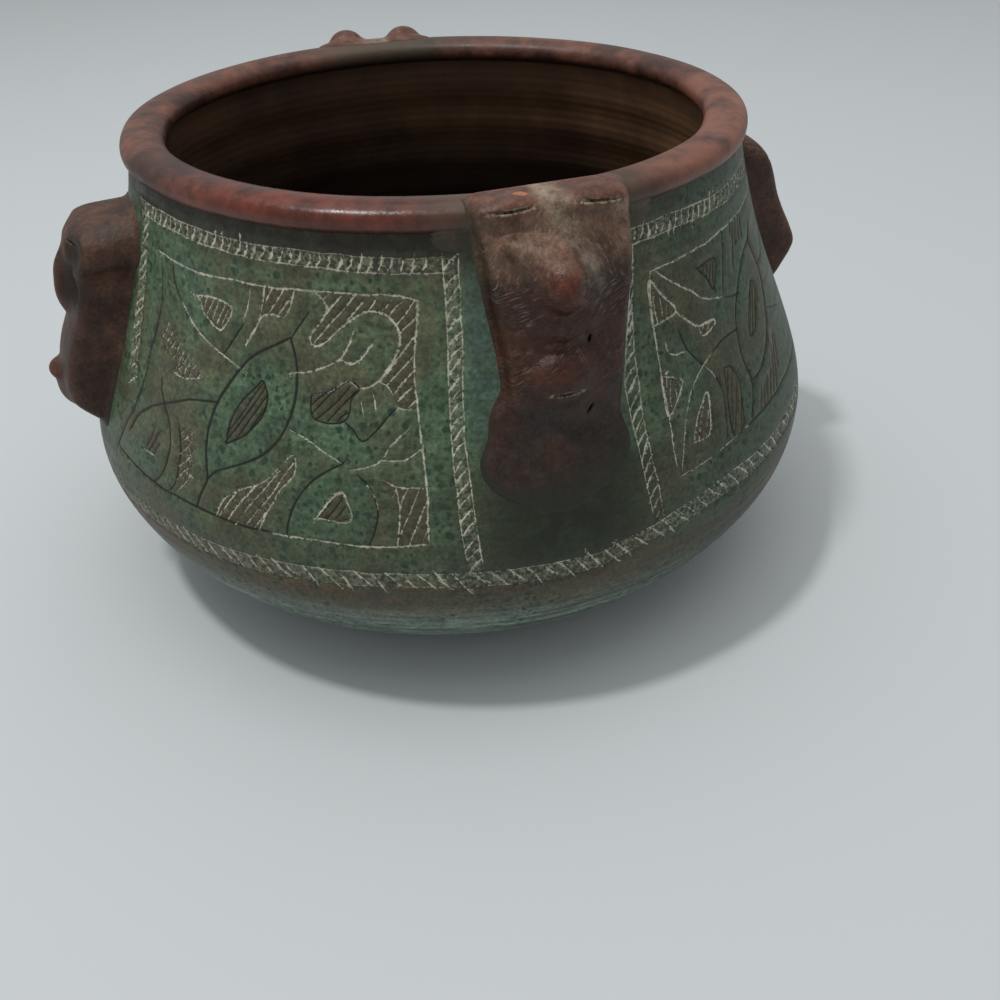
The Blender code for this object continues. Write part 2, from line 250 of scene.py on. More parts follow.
    # crossing ribs
    draw([(9.8, 31.3), (16, 29.3), (21, 26.6), (25.7, 24)], 0.75)
    draw([(28.6, 22), (33, 23.5), (36.5, 25.5), (39.4, 29.4), (44, 34)], 0.75)
    draw([(36.5, 25.4), (42, 25.4), (45, 27), (47.6, 28.9)], 0.75)
    # arch with a hatched triangle
    draw([(11, 1), (11.4, 5), (13.2, 11), (17, 17.4), (21, 21), (25.7, 23.8)], 1.0, "dark")
    draw([(30.4, 20.6), (33, 18), (35, 14), (35.6, 10.4), (34.8, 6), (33, 1)], 0.8, "dark")
    draw([(33, 18), (35, 14), (35.6, 10.6)], 0.6)
    hatch([(19, 7.5), (22.4, 12.4), (25.5, 16), (27, 13.6), (28, 7.5)], 60, 2.0, 0.65, "dark", "pale")
    # hatched corner, and a flame along the foot
    hatch([(37, 19.7), (40.6, 18.3), (47.8, 18), (48.1, 2), (40.2, 1.4), (41, 11)], 70, 2.7, 0.7)
    draw([(37, 19.7), (40.6, 18.3), (48.8, 18)], 0.8)
    draw([(40, 18.3), (41, 11), (40.2, 1.4)], 0.75)
    flame = [(-10.6, 1), (-9.2, 6), (-6.8, 8.9), (-2.8, 11.6), (2.2, 14.2), (6.4, 17.8), (12, 24.4),
             (13.2, 20), (11.2, 16.4), (8.4, 13), (6.2, 8), (3, 0.9)]
    hatch(flame, 57, 2.2, 0.7)
    draw(flame, 0.65)
    # side arch, its inner leaf, and the hatched strips by it
    draw([(-52.6, 12), (-49, 18), (-44, 22.4), (-37, 26.4), (-30, 29.6), (-23, 32), (-14.4, 33.7)], 1.2,
         "dark")
    draw([(-40, 34), (-38, 29), (-33, 23.4), (-31, 18), (-31, 12), (-33, 6), (-36.4, 1.5)], 1.1, "dark")
    hatch([(-44, 10), (-40.6, 15.6), (-36.4, 19.6), (-35.6, 14), (-36.6, 9.8)], 66, 1.8, 0.65, "dark")
    draw([(-43.4, 9.7), (-36.6, 9.6)], 0.8)
    draw([(-28.2, 23.2), (-26.6, 17), (-26, 11), (-26.6, 6), (-29, 2)], 1.1, "dark")
    hatch([(-26.4, 22.6), (-26, 12), (-27.6, 3), (-24.6, 2.6), (-21, 9.4), (-20.6, 16), (-23, 22.8)], 52, 2.3,
          0.6)
    hatch([(-42, 50), (-36, 49.6), (-31, 44.6), (-22, 40.6), (-22, 38), (-31, 36.6), (-36, 42), (-43, 44)],
          60, 2.4, 0.6)
    draw([(-36, 37.2), (-29, 36.6), (-22, 39)], 0.6)


def arch_panel(middle):
    """The panel to the right of the front face, drawn lower and wider, with its leaf farther round."""
    lay, draw, hatch = field(middle)
    framed.append(lay([(-55.4, 65.6), (48, 68), (48, 9), (-28, 9.6), (-58, 6.6), (-57.8, 45), (-55.4, 65.6)]))
    slipped.append(lay([(-21, 20.6), (-22, 29), (-16, 45.4), (-3, 55.4), (4, 57.2), (7.6, 43), (3, 33.6),
                        (-5, 25.4), (-21, 20.6)]))
    slipped.append(lay([(-53.6, 65.6), (-40, 55.8), (-24, 49), (-17.4, 66.6), (-53.6, 65.6)]))
    slipped.append(lay([(-58, 8), (-51, 26), (-41.6, 34.2), (-36, 24), (-39, 10), (-58, 8)]))
    # frame
    draw([(-55.4, 65.6), (-44, 66.2), (-30, 66.6), (-10, 67.2), (10, 67.6), (34, 68), (48, 68)], 0.9)
    draw([(-55.4, 65.6), (-57, 58), (-57.8, 45), (-58.6, 25), (-59.4, 10)], 0.9)
    draw([(-58, 6.6), (-44, 8), (-28, 9.6)], 0.6)
    draw([(-28, 9.6), (-8, 10), (14, 9.6), (48, 9)], 0.9, "dark")
    draw([(48, 68), (47, 40), (48, 9)], 1.0, "dark")
    # leaf with a hatched heart
    draw([(-26, 11), (-23, 15), (-21, 20.6), (-22, 29), (-20.6, 38), (-16, 45.4), (-9, 52), (-3, 55.4),
          (4, 57.2), (8, 61)], 1.2, "dark")
    draw([(-21, 20.6), (-13, 21), (-5, 25.4), (3, 33.6), (7.6, 43), (7, 50), (4, 57.2)], 1.2, "dark")
    hatch([(-14.4, 32), (-12, 37), (-6.4, 43), (-2, 46.4), (-1, 42), (-5, 37), (-9.4, 33)], 50, 1.7, 0.7,
          "dark", "dark")
    # petal that hangs from the frame, with a hatched drop in it
    draw([(-53.6, 65.6), (-46.6, 60.6), (-40, 55.8), (-32, 51.2), (-24, 49)], 0.8)
    draw([(-24, 49), (-18, 47.2), (-13.4, 46.6)], 0.9, "dark")
    draw([(-17.4, 66.6), (-19.2, 59), (-24, 49.4)], 0.9, "dark")
    hatch([(-35, 61), (-24.4, 61), (-26, 56), (-28.4, 53), (-30.6, 57)], 66, 2.2, 0.7, "dark", "dark")
    hatch([(-12, 66.8), (-11, 61), (-14.4, 53.4), (-9, 60.6), (-2, 62), (2, 66.8)], 62, 2.4, 0.7, "dark")
    draw([(4.4, 34), (12, 31), (20, 28)], 0.9, "dark")
    draw([(8, 47.6), (16, 48), (24, 52), (30, 60), (38, 62), (42, 55), (36, 46)], 1.0, "dark")
    # hatched corner and band by the face
    hatch([(-57.8, 50.8), (-56.4, 63.4), (-52.2, 58.6), (-48, 52.6)], 84, 2.0, 0.7, "pale", "pale")
    draw([(-48, 52.6), (-44.4, 49.2), (-40.4, 46), (-35.6, 45), (-32, 44.8)], 0.85)
    hatch([(-39.6, 45.4), (-38.4, 42), (-31.2, 43.6), (-33, 45)], 40, 1.8, 0.6, "pale", "pale")
    draw([(-54.4, 46), (-54.2, 43), (-52, 41), (-47.6, 40.8)], 0.75)
    hatch([(-58.2, 36.6), (-51, 33), (-58.6, 25)], 78, 1.9, 0.65, "pale", "pale")
    # crossed arches with a hatched triangle
    draw([(-48.6, 47), (-46.6, 40.8), (-42, 34.6)], 0.9, "dark")
    draw([(-42, 34.6), (-38, 30.2), (-36, 24), (-37.4, 16), (-39, 10)], 0.8, "dark")
    draw([(-42, 34.6), (-38.6, 31), (-37, 28)], 0.55)
    draw([(-58, 8), (-55.4, 16), (-51, 26), (-46, 31.2), (-41.6, 34.2), (-36, 36.6)], 0.75)
    draw([(-36, 36.6), (-29, 38), (-20.6, 37.6)], 0.9, "dark")
    hatch([(-52, 14.6), (-47.4, 22.4), (-42.4, 26.6), (-43.6, 19), (-46, 14)], 62, 2.2, 0.6, "pale", "pale")
    # hatched strips along the foot
    hatch([(-33, 30), (-29, 28.6), (-27.6, 22), (-30.6, 10.6), (-36, 10.6)], 66, 2.2, 0.7, "dark", "dark")
    hatch([(-21, 10.6), (-19, 14.6), (-8, 17.6), (3.4, 26.4), (4.6, 22), (-2, 15), (-4, 10.6)], 58, 2.3, 0.7,
          "dark")


# Bands: a ladder of rungs round the neck over each panel, ropes of slanting cuts down both sides of each
# face, and a rope round the belly that climbs from the front face to the right, as freehand rings do. All are
# scratched through the slip, and chalky dust has stayed between their lines.
LADDER_FALL = 0.012


def ladder(middle, ends, low, top):
    """Two rails across a field, from end to end, with leaning rungs between them."""
    lay, draw, _ = field(middle)
    places = np.linspace(*ends, 30)
    sway = 0.25 * np.sin(places / 9)
    rails = [np.stack([places, level + sway - LADDER_FALL * places], -1) for level in (low, top)]
    for rail in rails:
        draw(rail, 0.6)
    chalked.append(lay(np.vstack([rails[0], rails[1][::-1], rails[0][:1]])))
    x = ends[0] + 2
    while x < ends[1] - 3:
        lean, drop = hand.uniform(0.5, 1.3), LADDER_FALL * x
        bend = (x + 0.5 + hand.normal(0, 0.2), (low + top) / 2 - drop)
        rung = [(x - lean, low - drop), bend, (x + lean - 0.3, top - drop)]
        draw(rung, hand.uniform(1.0, 1.5))
        x += hand.uniform(2.7, 3.7)


def upright_rope(left_line, right_line, dusty=True):
    """Two upright lines, given as points of (across, up) from the front, with slanting cuts between them."""
    lay, draw, _ = field(0.0)
    left_line, right_line = through(left_line), through(right_line)
    for line in (left_line, right_line):
        draw(line[::6], 0.65)
    if dusty:
        chalked.append(lay(np.vstack([left_line[::6], right_line[::-6], left_line[:1]])))
    low, high = left_line[-1][1], left_line[0][1] - 3
    while low < high:
        a = np.interp(low, left_line[::-1, 1], left_line[::-1, 0])
        b = np.interp(low + 4.2, right_line[::-1, 1], right_line[::-1, 0])
        if b - a > SHORTEST:
            cut = [(a, low), ((a + b) / 2 - 0.2, low + 2.2), (b, low + hand.uniform(3.6, 5.2))]
            draw(cut, hand.uniform(0.85, 1.4))
            if hand.random() < 0.3:
                draw([(a + 1.2, low + 0.6), (b - 0.4, low + 3)], 0.5)
        low += hand.uniform(3.2, 4.6)


def belly_rope():
    """Two lines all round the belly, with slanting cuts between them."""
    knots = np.array([(-352, -9.2), (-240, -9.6), (-150, -9.8), (-88, -8.6), (-48, -7.4), (-10, -8),
                      (4, -7.8), (14, -5.6), (26, -3.6), (38, -1.6), (50, -0.6), (88, -0.2), (150, -0.6),
                      (240, -6), (352, -9.2)], float)
    lay, draw, _ = field(0.0)
    places = np.linspace(-351.8, 351.8, 230)
    level = np.interp(places, *knots.T)
    under = level - 4.9 + 0.3 * np.sin(places / 10)
    draw(np.stack([places, level], -1), 0.6)
    draw(np.stack([places, under], -1), 0.45)
    there, back = np.stack([places, level], -1), np.stack([places, under], -1)[::-1]
    chalked.append(lay(np.vstack([there, back, there[:1]])))
    x = -346.0
    while x < 344:
        y = np.interp(x, *knots.T)
        long = hand.uniform(3.0, 5.0)
        cut = [(x, y + 0.3), (x + long * 0.5, y - 2.4), (x + long, y - 5.0 + hand.normal(0, 0.6))]
        draw(cut, hand.uniform(0.9, 1.5))
        if hand.random() < 0.25:
            draw([(x + 1.4, y - 0.4), (x + 1 + long * 0.6, y - 3)], 0.6)
        x += hand.uniform(3.6, 5.2)


quarter = math.pi / 2
leaf_panel(-quarter / 2, 1)
arch_panel(quarter / 2)
leaf_panel(quarter * 1.5, -1)
leaf_panel(-quarter * 1.5, 1)
ladder(-quarter / 2, (-64, 56), 75.6, 79.4)
ladder(quarter / 2, (-62, 58), 73.8, 78.0)
ladder(quarter * 1.5, (-58, 58), 74.6, 78.6)
ladder(-quarter * 1.5, (-58, 58), 74.6, 78.6)
upright_rope([(-32.6, 79.4), (-32.3, 60), (-33, 40), (-32.4, 15), (-30.6, -7.4)],
             [(-28, 79), (-28.2, 60), (-28.9, 45), (-29.5, 30), (-28.6, 15), (-27.6, 0), (-26.6, -7.4)])
upright_rope([(26.2, 75), (23.8, 62), (20.4, 50), (17.4, 38), (17.2, 28), (18, 18), (18.4, 8), (19.4, -4)],
             [(27, 75), (25, 62), (23, 50), (21.8, 38), (21.2, 25), (21.6, 10), (22.4, -4)], False)
# two ropes beside each side face, and one on each side of the back face
for side in (-1, 1):
    for start, lean, foot, lines in (
        (176 * side - 30, -1, -4.2, (0, 4.2)),
        (176 * side + 25.8, 1, 4.2, (-1.4, 4.2)),
        (322.5 * side, -side, -4.1 * side, (-2.1, 2.1)),
    ):
        upright_rope(*(
            [(start + k, 77), (start + k, 58), (start + lean + k, 40), (start + foot + k, 24)] for k in lines
        ))
belly_rope()


# Wall mesh: the unrolled wall is triangulated with every stroke's middle and both its lips as edges, so a
# stroke is a real groove. Points between the strokes are about 2.3 mm apart, and the unrolled wall's two ends
# are joined at the back.
WIDE = math.pi * ROUND
ROWS, COLUMNS = 76, 306
CLEAR = 1.3
flat, joins, tip_of = [], [], []
tips = kdtree.KDTree(sum(len(line) * 4 for line, *_ in strokes))
for line, half, kind, depth in strokes:
    line[:, 0] = np.clip(line[:, 0], -WIDE, WIDE)
    squeeze = radius_at(line[:, 1]) / ROUND
    ahead = np.gradient(line, axis=0) * np.stack([squeeze, np.ones(len(line))], -1)
    ahead /= np.linalg.norm(ahead, axis=1)[:, None]
    aside = np.stack([-ahead[:, 1] / squeeze, ahead[:, 0]], -1)
    count = len(line)
    for part in (-1, 0, 1):
        first = len(flat)
        flat += (line + aside * (part * half)[:, None]).tolist()
        joins += [(first + i, first + i + 1) for i in range(count - 1)]
    for end in (0, count - 1):
        joins += [(first + end, first - count + end), (first - count + end, first - 2 * count + end)]
    fine = np.linspace(0, count - 1, count * 4)
    for x, s, h in zip(*(np.interp(fine, np.arange(count), v) for v in (line[:, 0], line[:, 1], half))):
        tips.insert((x * radius_at(s) / ROUND, s, 0), len(tip_of))
        tip_of.append((h, kind, depth))
tips.balance()
for j, s in enumerate(np.linspace(0, END, ROWS)):
    for i in range(COLUMNS + 1):
        x = -WIDE + 2 * WIDE * i / COLUMNS
        at_end = i in (0, COLUMNS)
        if j % 2 and not at_end:
            x += WIDE / COLUMNS
        near = tips.find((x * radius_at(s) / ROUND, s, 0))[2]
        if at_end or j in (0, ROWS - 1) or near > CLEAR:
            flat.append((min(x, WIDE), s))
flat = np.clip(np.array(flat), (-WIDE, 0), (WIDE, END))
made = delaunay_2d_cdt([Vector(p) for p in flat.tolist()], joins, [], 0, 1e-4, False)
flat = np.array([tuple(p) for p in made[0]])
tris = np.array([t for t in made[2] if len(t) == 3])[:, ::-1]
cuts = {kind: np.zeros(len(flat)) for kind in GROOVES}
sunk = np.zeros(len(flat))
for i, (x, s) in enumerate(flat):
    for _, k, far in tips.find_range((x * radius_at(s) / ROUND, s, 0), CLEAR - 0.1):
        h, kind, depth = tip_of[k]
        share = max(0, 1 - far / h)
        cuts[kind][i] = max(cuts[kind][i], share)
        sunk[i] = max(sunk[i], depth * share)
left_end = {round(s, 3): i for i, (x, s) in enumerate(flat) if x < -WIDE + 1e-6}
weld = np.arange(len(flat))
for i, (x, s) in enumerate(flat):
    if x > WIDE - 1e-6:
        weld[i] = left_end.get(round(s, 3), i)


def within(edges):
    """1 at the points that lie in any of some closed lines, and 0 at the others."""
    found = np.zeros(len(flat))
    for edge in edges:
        some = np.where(((flat > edge.min(0)) & (flat < edge.max(0))).all(1))[0]
        x, s = flat[some].T
        odd = np.zeros(len(some), bool)
        for (xa, sa), (xb, sb) in zip(edge, edge[1:]):
            odd ^= ((sa > s) != (sb > s)) & (x < (xb - xa) * (s - sa) / (sb - sa + 1e-9) + xa)
        found[some[odd]] = 1
    return found


# the slip is heavy on the right, where painted shade also darkens it, olive where it is thin, darkened by
# painted shadow at the front face's foot, and washed beside it
across, up = flat[:, 0], FOOT_LINE - flat[:, 1]
heavy_slip_and_shade = np.clip((across - 16) / 30, 0, 1) * np.clip((190 - across) / 40, 0, 1)
thin = within(framed) * (1 - within(slipped))
wall_marks = {
    **cuts,
    "bare": within(scraped),
    "chalk": within(chalked),
    "heavy_slip_and_shade": heavy_slip_and_shade,
    "olive": np.maximum(thin, np.clip(2.5 - up, 0, 1)) * (1 - 0.9 * heavy_slip_and_shade),
    "front_foot_shade": np.exp(-((across + 4) / 26) ** 4 - ((up - 6) / 18) ** 4),
    "washed": np.exp(-((across + 23.5) / 4.5) ** 4 - ((up - 50) / 26) ** 4)
              + 0.7 * np.exp(-((across - 20) / 5) ** 4 - ((up - 62) / 9) ** 4),
}


def solid(name, points, faces, material, marks=None):
    """A smooth-shaded mesh object in metres, with named values or vectors on its points."""
    mesh = bpy.data.meshes.new(name)
    mesh.from_pydata(np.asarray(points, float).tolist(), [], np.asarray(faces).tolist())
    mesh.shade_smooth()
    for key, given in (marks or {}).items():
        given = np.asarray(given, np.float32)
        kind, member = ("FLOAT", "value") if given.ndim == 1 else ("FLOAT_VECTOR", "vector")
        mesh.attributes.new(key, kind, "POINT").data.foreach_set(member, given.ravel())
    mesh.materials.append(material)
    piece = bpy.data.objects.new(name, mesh)
    bpy.context.scene.collection.objects.link(piece)
    return piece


def linear(code):
    """An sRGB hex colour as linear RGBA."""
    parts = [int(code[i:i + 2], 16) / 255 for i in (1, 3, 5)]
    return [p / 12.92 if p <= 0.04045 else ((p + 0.055) / 1.055) ** 2.4 for p in parts] + [1.0]


def new_material(name):
    """A material with no nodes yet."""
    material = bpy.data.materials.new(name)
    material.use_nodes = True
    material.node_tree.nodes.clear()
    return material


def node(material, kind, *inputs, output=None, **named):
    """Adds a shader node and gives its first output, or the one asked for.

    Inputs are values or outputs of other nodes, in the order of the node's sockets or by a socket's name.
    Any other name is a setting of the node.
    """
    tree = material.node_tree
    added = tree.nodes.new("ShaderNode" + kind)
    for key, given in named.items():
        if key not in added.inputs:
            setattr(added, key, given)
    filled = list(zip((socket for socket in added.inputs if socket.enabled), inputs))
    filled += [(added.inputs[key], given) for key, given in named.items() if key in added.inputs]
    for socket, given in filled:
        if isinstance(given, bpy.types.NodeSocket):
            tree.links.new(given, socket)
        else:
            socket.default_value = given
    if output:
        return added.outputs[output]
    return next((socket for socket in added.outputs if socket.enabled), None)


# settings of the nodes that the materials use most
SOFT = {"interpolation_type": "SMOOTHSTEP"}
PLUS, LESS, TIMES, MOST = ({"operation": name} for name in ("ADD", "SUBTRACT", "MULTIPLY", "MAXIMUM"))
COLOUR = {"data_type": "RGBA"}


def coat(material, under, over, amount, pattern, low, high, least=0.0, most=1.0):
    """A colour laid over another by an amount, least where a pattern is low and most where it is high."""
    patchy = node(material, "MapRange", pattern, low, high, least, most, **SOFT)
    return node(material, "Mix", node(material, "Math", amount, patchy, **TIMES), under, over, **COLOUR)


def shade(material, under, pattern, low, high, dark, bright, **settings):
    """A colour made darker where a pattern is low and brighter where it is high."""
    level = node(material, "MapRange", pattern, low, high, dark, bright, **settings)
    return node(material, "Mix", 1.0, under, level, blend_type="MULTIPLY", **COLOUR)


# Green slip, burnished with a stone: a thin coat of clay and copper, clouded by the fire from green to olive
# and brown, with darker drops 1 to 3 mm wide where a wash was dabbed on. It has a dull, waxy shine. Scratches
# show the pale body, with chalky, broken edges.
slip = new_material("burnished_green_slip")
where = node(slip, "TexCoord", output="Object")
height = node(slip, "SeparateXYZ", where, output="Z")
mark = {key: node(slip, "Attribute", output="Fac", attribute_name=key) for key in wall_marks}
# widths of the fire's clouds and patches, the brush's blotches, the clay's grit and the scratches' crumbs
cloud = node(slip, "TexNoise", where, 1 / (29.4 * MM), 5.0, 0.6)
patch = node(slip, "TexNoise", where, 1 / (76.9 * MM), 3.0, 0.55)
blotch = node(slip, "TexNoise", where, 1 / (6.667 * MM), 5.0, 0.68)
grain = node(slip, "TexNoise", where, 1 / (1.25 * MM), 4.0, 0.7)
crumb = node(slip, "TexNoise", where, 1 / (0.7692 * MM), 2.0, 0.6)
# the stone's strokes lie round the bowl, 45 long and 2 high
stone = node(slip, "Mapping", Vector=where, Scale=[1 / (size * MM) for size in (45.45, 45.45, 1.923)])
streak = node(slip, "TexNoise", stone, 1.0, 4.0, 0.62)

greening = node(slip, "MapRange", cloud, 0.34, 0.56, **SOFT)
greening = node(slip, "Math", greening, node(slip, "Math", mark["olive"], 0.4, **TIMES), **LESS)
colour = node(slip, "Mix", greening, linear("#4d4f3a"), linear("#485c45"), **COLOUR)
browning = node(slip, "MapRange", mark["heavy_slip_and_shade"], 0.0, 1.0, 0.42, 0.12)
colour = coat(slip, colour, linear("#4f4734"), browning, patch, 0.5, 0.68)
colour = coat(slip, colour, linear("#3d4d46"), mark["washed"], blotch, 0.3, 0.6, 0.2, 0.9)
# low on the belly: a brown band under the rope, and a painted grey sheen below it
rising = node(slip, "MapRange", height, 30 * MM, 40 * MM, **SOFT)
belt = node(slip, "Math", rising, node(slip, "MapRange", height, 58 * MM, 50 * MM, **SOFT), **TIMES)
colour = coat(slip, colour, linear("#55442f"), belt, streak, 0.36, 0.56, 0.0, 0.85)
low_sheen = node(slip, "MapRange", height, 47 * MM, 32 * MM, **SOFT)
colour = coat(slip, colour, linear("#74857c"), low_sheen, streak, 0.34, 0.58, 0.15, 0.9)
# drops of the wash, with uneven edges
stir = node(slip, "TexNoise", where, 1 / (2.381 * MM), 3.0, output="Color")
stirred = node(slip, "Mix", 0.9 * MM, where, stir, blend_type="LINEAR_LIGHT", **COLOUR)
dabbed = 0.0
for spacing, fewest in ((3.333, 0.4), (1.923, 0.45)):
    reach = node(slip, "TexVoronoi", stirred, 1 / (spacing * MM), Randomness=0.9)
    chance = node(slip, "SeparateColor", reach.node.outputs["Color"])
    kept = node(slip, "MapRange", chance, fewest, fewest + 0.2, **SOFT)
    drops = node(slip, "Math", node(slip, "MapRange", reach, 0.46, 0.24, **SOFT), kept, **TIMES)
    dabbed = node(slip, "Math", dabbed, drops, **MOST)
dabbed = node(slip, "Math", dabbed, node(slip, "MapRange", greening, 0.1, 0.6, **SOFT), **TIMES)
dabbed = node(slip, "Math", dabbed, node(slip, "MapRange", blotch, 0.35, 0.6, 0.5, 1.0, **SOFT), **TIMES)
dabbed = node(slip, "Math", dabbed, mark["washed"], **LESS)
colour = node(slip, "Mix", dabbed, colour, linear("#24382a"), **COLOUR)
# blotches, the stone's streaks and grit vary the tone; the wall is darker low down and lighter high up; and
# painted shade darkens its right side
for pattern, low, high, dark, bright in (
    (blotch, 0.3, 0.7, 0.62, 1.4),
    (streak, 0.3, 0.7, 0.78, 1.24),
    (grain, 0.3, 0.7, 0.5, 1.5),
    (height, 50 * MM, 100 * MM, 0.85, 1.18),
    (mark["heavy_slip_and_shade"], 0.0, 1.0, 1.0, 0.64),
):
    colour = shade(slip, colour, pattern, low, high, dark, bright)
# painted shade under the rim's overhang, lighter on the right, and painted shadow round the foot of the front
# face
under_rim_shade = node(slip, "MapRange", height, 131 * MM, 142.5 * MM, **SOFT)
under_rim_shade = node(slip, "Math", under_rim_shade, node(slip, "MapRange", mark["heavy_slip_and_shade"], 0.0, 1.0, 1.0, 0.3), **TIMES)
colour = coat(slip, colour, linear("#241d14"), under_rim_shade, blotch, 0.3, 0.6, 0.65, 0.98)
# painted shadow below the front face's foot
colour = coat(slip, colour, linear("#1f2416"), mark["front_foot_shade"], blotch, 0.25, 0.6, 0.7, 1.0)
# scraped patches, dust between the ropes' lines, dark strokes and pale ones
body = shade(slip, linear("#4a4231"), grain, 0.3, 0.7, 0.6, 1.4, **SOFT)
colour = coat(slip, colour, body, mark["bare"], blotch, 0.3, 0.6, 0.4, 0.8)
colour = coat(slip, colour, linear("#85836f"), mark["chalk"], grain, 0.44, 0.62, 0.0, 0.62)
colour = coat(slip, colour, linear("#1f1f18"), 1.0, mark["dark"], 0.1, 0.55, 0.0, 0.92)
broken = node(slip, "Math", mark["pale"], node(slip, "MapRange", grain, 0.25, 0.75, -0.6, 0.45), **PLUS)
skips = node(slip, "TexNoise", where, 1 / (4.167 * MM), 3.0, 0.6)
skips = node(slip, "MapRange", skips, 0.36, 0.56, 0.5, 1.0, **SOFT)
core = node(slip, "Math", node(slip, "MapRange", broken, 0.42, 0.62, **SOFT), skips, **TIMES)
crumbs = node(slip, "MapRange", crumb, 0.54, 0.66, 0.0, 0.85, **SOFT)
crumbs = node(slip, "Math", node(slip, "MapRange", mark["pale"], 0.02, 0.3, **SOFT), crumbs, **TIMES)
scratch = node(slip, "Math", core, crumbs, **MOST)
colour = node(slip, "Mix", scratch, colour, linear("#c6c3b0"), **COLOUR)
# burnished slip is smooth where the stone passed, and a scratch is as rough as chalk
rough = node(slip, "MapRange", node(slip, "Math", blotch, streak, **PLUS), 0.7, 1.24, 0.34, 0.58)
rough = node(slip, "Mix", scratch, rough, 0.9)
relief = node(slip, "Bump", Strength=0.5, Distance=0.5 * MM, Height=blotch)
relief = node(slip, "Bump", Strength=0.6, Distance=0.2 * MM, Height=scratch, Normal=relief)
# fired clay slip has an IOR near 1.45, and its pores keep the shine a little below that
waxy = {"IOR": 1.45, "Specular IOR Level": 0.42}
skin = node(slip, "BsdfPrincipled", colour, Roughness=rough, Normal=relief, **waxy)
node(slip, "OutputMaterial", skin)

wall = solid("vessel_wall", on_wall(across / ROUND, flat[:, 1], sunk), weld[tris], slip, wall_marks)
unrolled = np.stack([(across + WIDE) / (2 * WIDE), 1 - flat[:, 1] / END], -1)
flat_map = wall.data.uv_layers.new(name="OFBake")
flat_map.data.foreach_set("uv", unrolled[tris.ravel()].astype(np.float32).ravel())
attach(wall, "root")
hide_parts("vessel_body")


# Inside and base of the bowl: bare earthenware, blackened by smoke, with painted light on the inside's right
# side and painted shade deeper down. The thrower's fingers left spiral ridges in the wall. The floor inside
# curves up into the wall, and the base below is flat.
WALL, FLOOR, CENTRE = 8.0, 9.0, 0.02
RINGS, RING_DEPTH = 10.5, 0.7
RIPPLE, RIPPLE_LENGTH = 0.04, 3.1
inner_run = np.linspace(0, run_at(14.0), 260)
nr, nz = out_of_wall(inner_run)
ring = (inner_run - run_at(SEAT)) / (run_at(1.0) - run_at(SEAT)) * RINGS
ridge = RING_DEPTH / 2 * (1 - np.cos(math.tau * ring)) + RIPPLE * np.sin(inner_run * math.tau / RIPPLE_LENGTH)
thick = WALL + ridge
inner = np.stack([radius_at(inner_run) - nr * thick, height_at(inner_run) - nz * thick], -1)
inner = inner[inner[:, 1] > FLOOR + 3]
corner = inner[-1]
bottom = stretch(corner, corner - (4, 3.2), (corner[0] - 14, FLOOR), (corner[0] - 26, FLOOR), 14)[1:]
disc = np.stack([np.linspace(bottom[-1][0] - 8, CENTRE, 8), np.full(8, FLOOR)], -1)


def spun(profile, count):
    """Points and faces of a profile of (radius, height) spun about the axis, closed on itself."""
    turns = np.linspace(-math.pi, math.pi, count, endpoint=False)
    r, z = profile[:, 0][:, None], np.repeat(profile[:, 1:], count, axis=1)
    r = r + uneven(turns, z) * np.clip(r / 40, 0, 1)
    points = np.stack([r * np.sin(turns), -r * np.cos(turns), z], -1).reshape(-1, 3) * MM
    i, j = np.meshgrid(np.arange(len(profile) - 1), np.arange(count), indexing="ij")
    k = (j + 1) % count
    faces = np.stack([i * count + j, i * count + k, (i + 1) * count + k, (i + 1) * count + j], -1)
    return points, faces.reshape(-1, 4)


# Smoked earthenware: dark brown and dull, with fine lines round it from the fingers.
smoked = new_material("smoked_earthenware")
where = node(smoked, "TexCoord", output="Object")
cloud = node(smoked, "TexNoise", where, 1 / (45.45 * MM), 5.0, 0.6)
fingers = node(smoked, "Mapping", Vector=where, Scale=[1 / (size * MM) for size in (166.7, 166.7, 2.381)])
lines = node(smoked, "TexNoise", fingers, 1.0, 3.0, 0.5)
colour = coat(smoked, linear("#4a3424"), linear("#6e5138"), 1.0, cloud, 0.35, 0.7)
colour = shade(smoked, colour, lines, 0.3, 0.7, 0.92, 1.08)
sideways = node(smoked, "SeparateXYZ", where)
height = sideways.node.outputs["Z"]
# painted shade, darker deeper in the bowl
colour = shade(smoked, colour, height, 80 * MM, 132 * MM, 0.16, 1.1, **SOFT)
# painted light on the inside's right side, which faces the small lamp at the left
colour = shade(smoked, colour, sideways, -20 * MM, 85 * MM, 0.66, 1.6, **SOFT)
relief = node(smoked, "Bump", Strength=0.3, Distance=0.4 * MM, Height=lines)
node(smoked, "OutputMaterial", node(smoked, "BsdfPrincipled", colour, Roughness=0.55, Normal=relief))

inside = solid("vessel_inside", *spun(np.vstack([inner, bottom, disc]), 300), smoked)
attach(inside, "root")
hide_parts("vessel_body")
base = np.array([(FOOT[0] - 2, 0), (FOOT[0] - 4, 0), (40, 0), (CENTRE, 0)], float)
underside = solid("vessel_base", *spun(base, 200), smoked)
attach(underside, "root")
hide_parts("vessel_body")


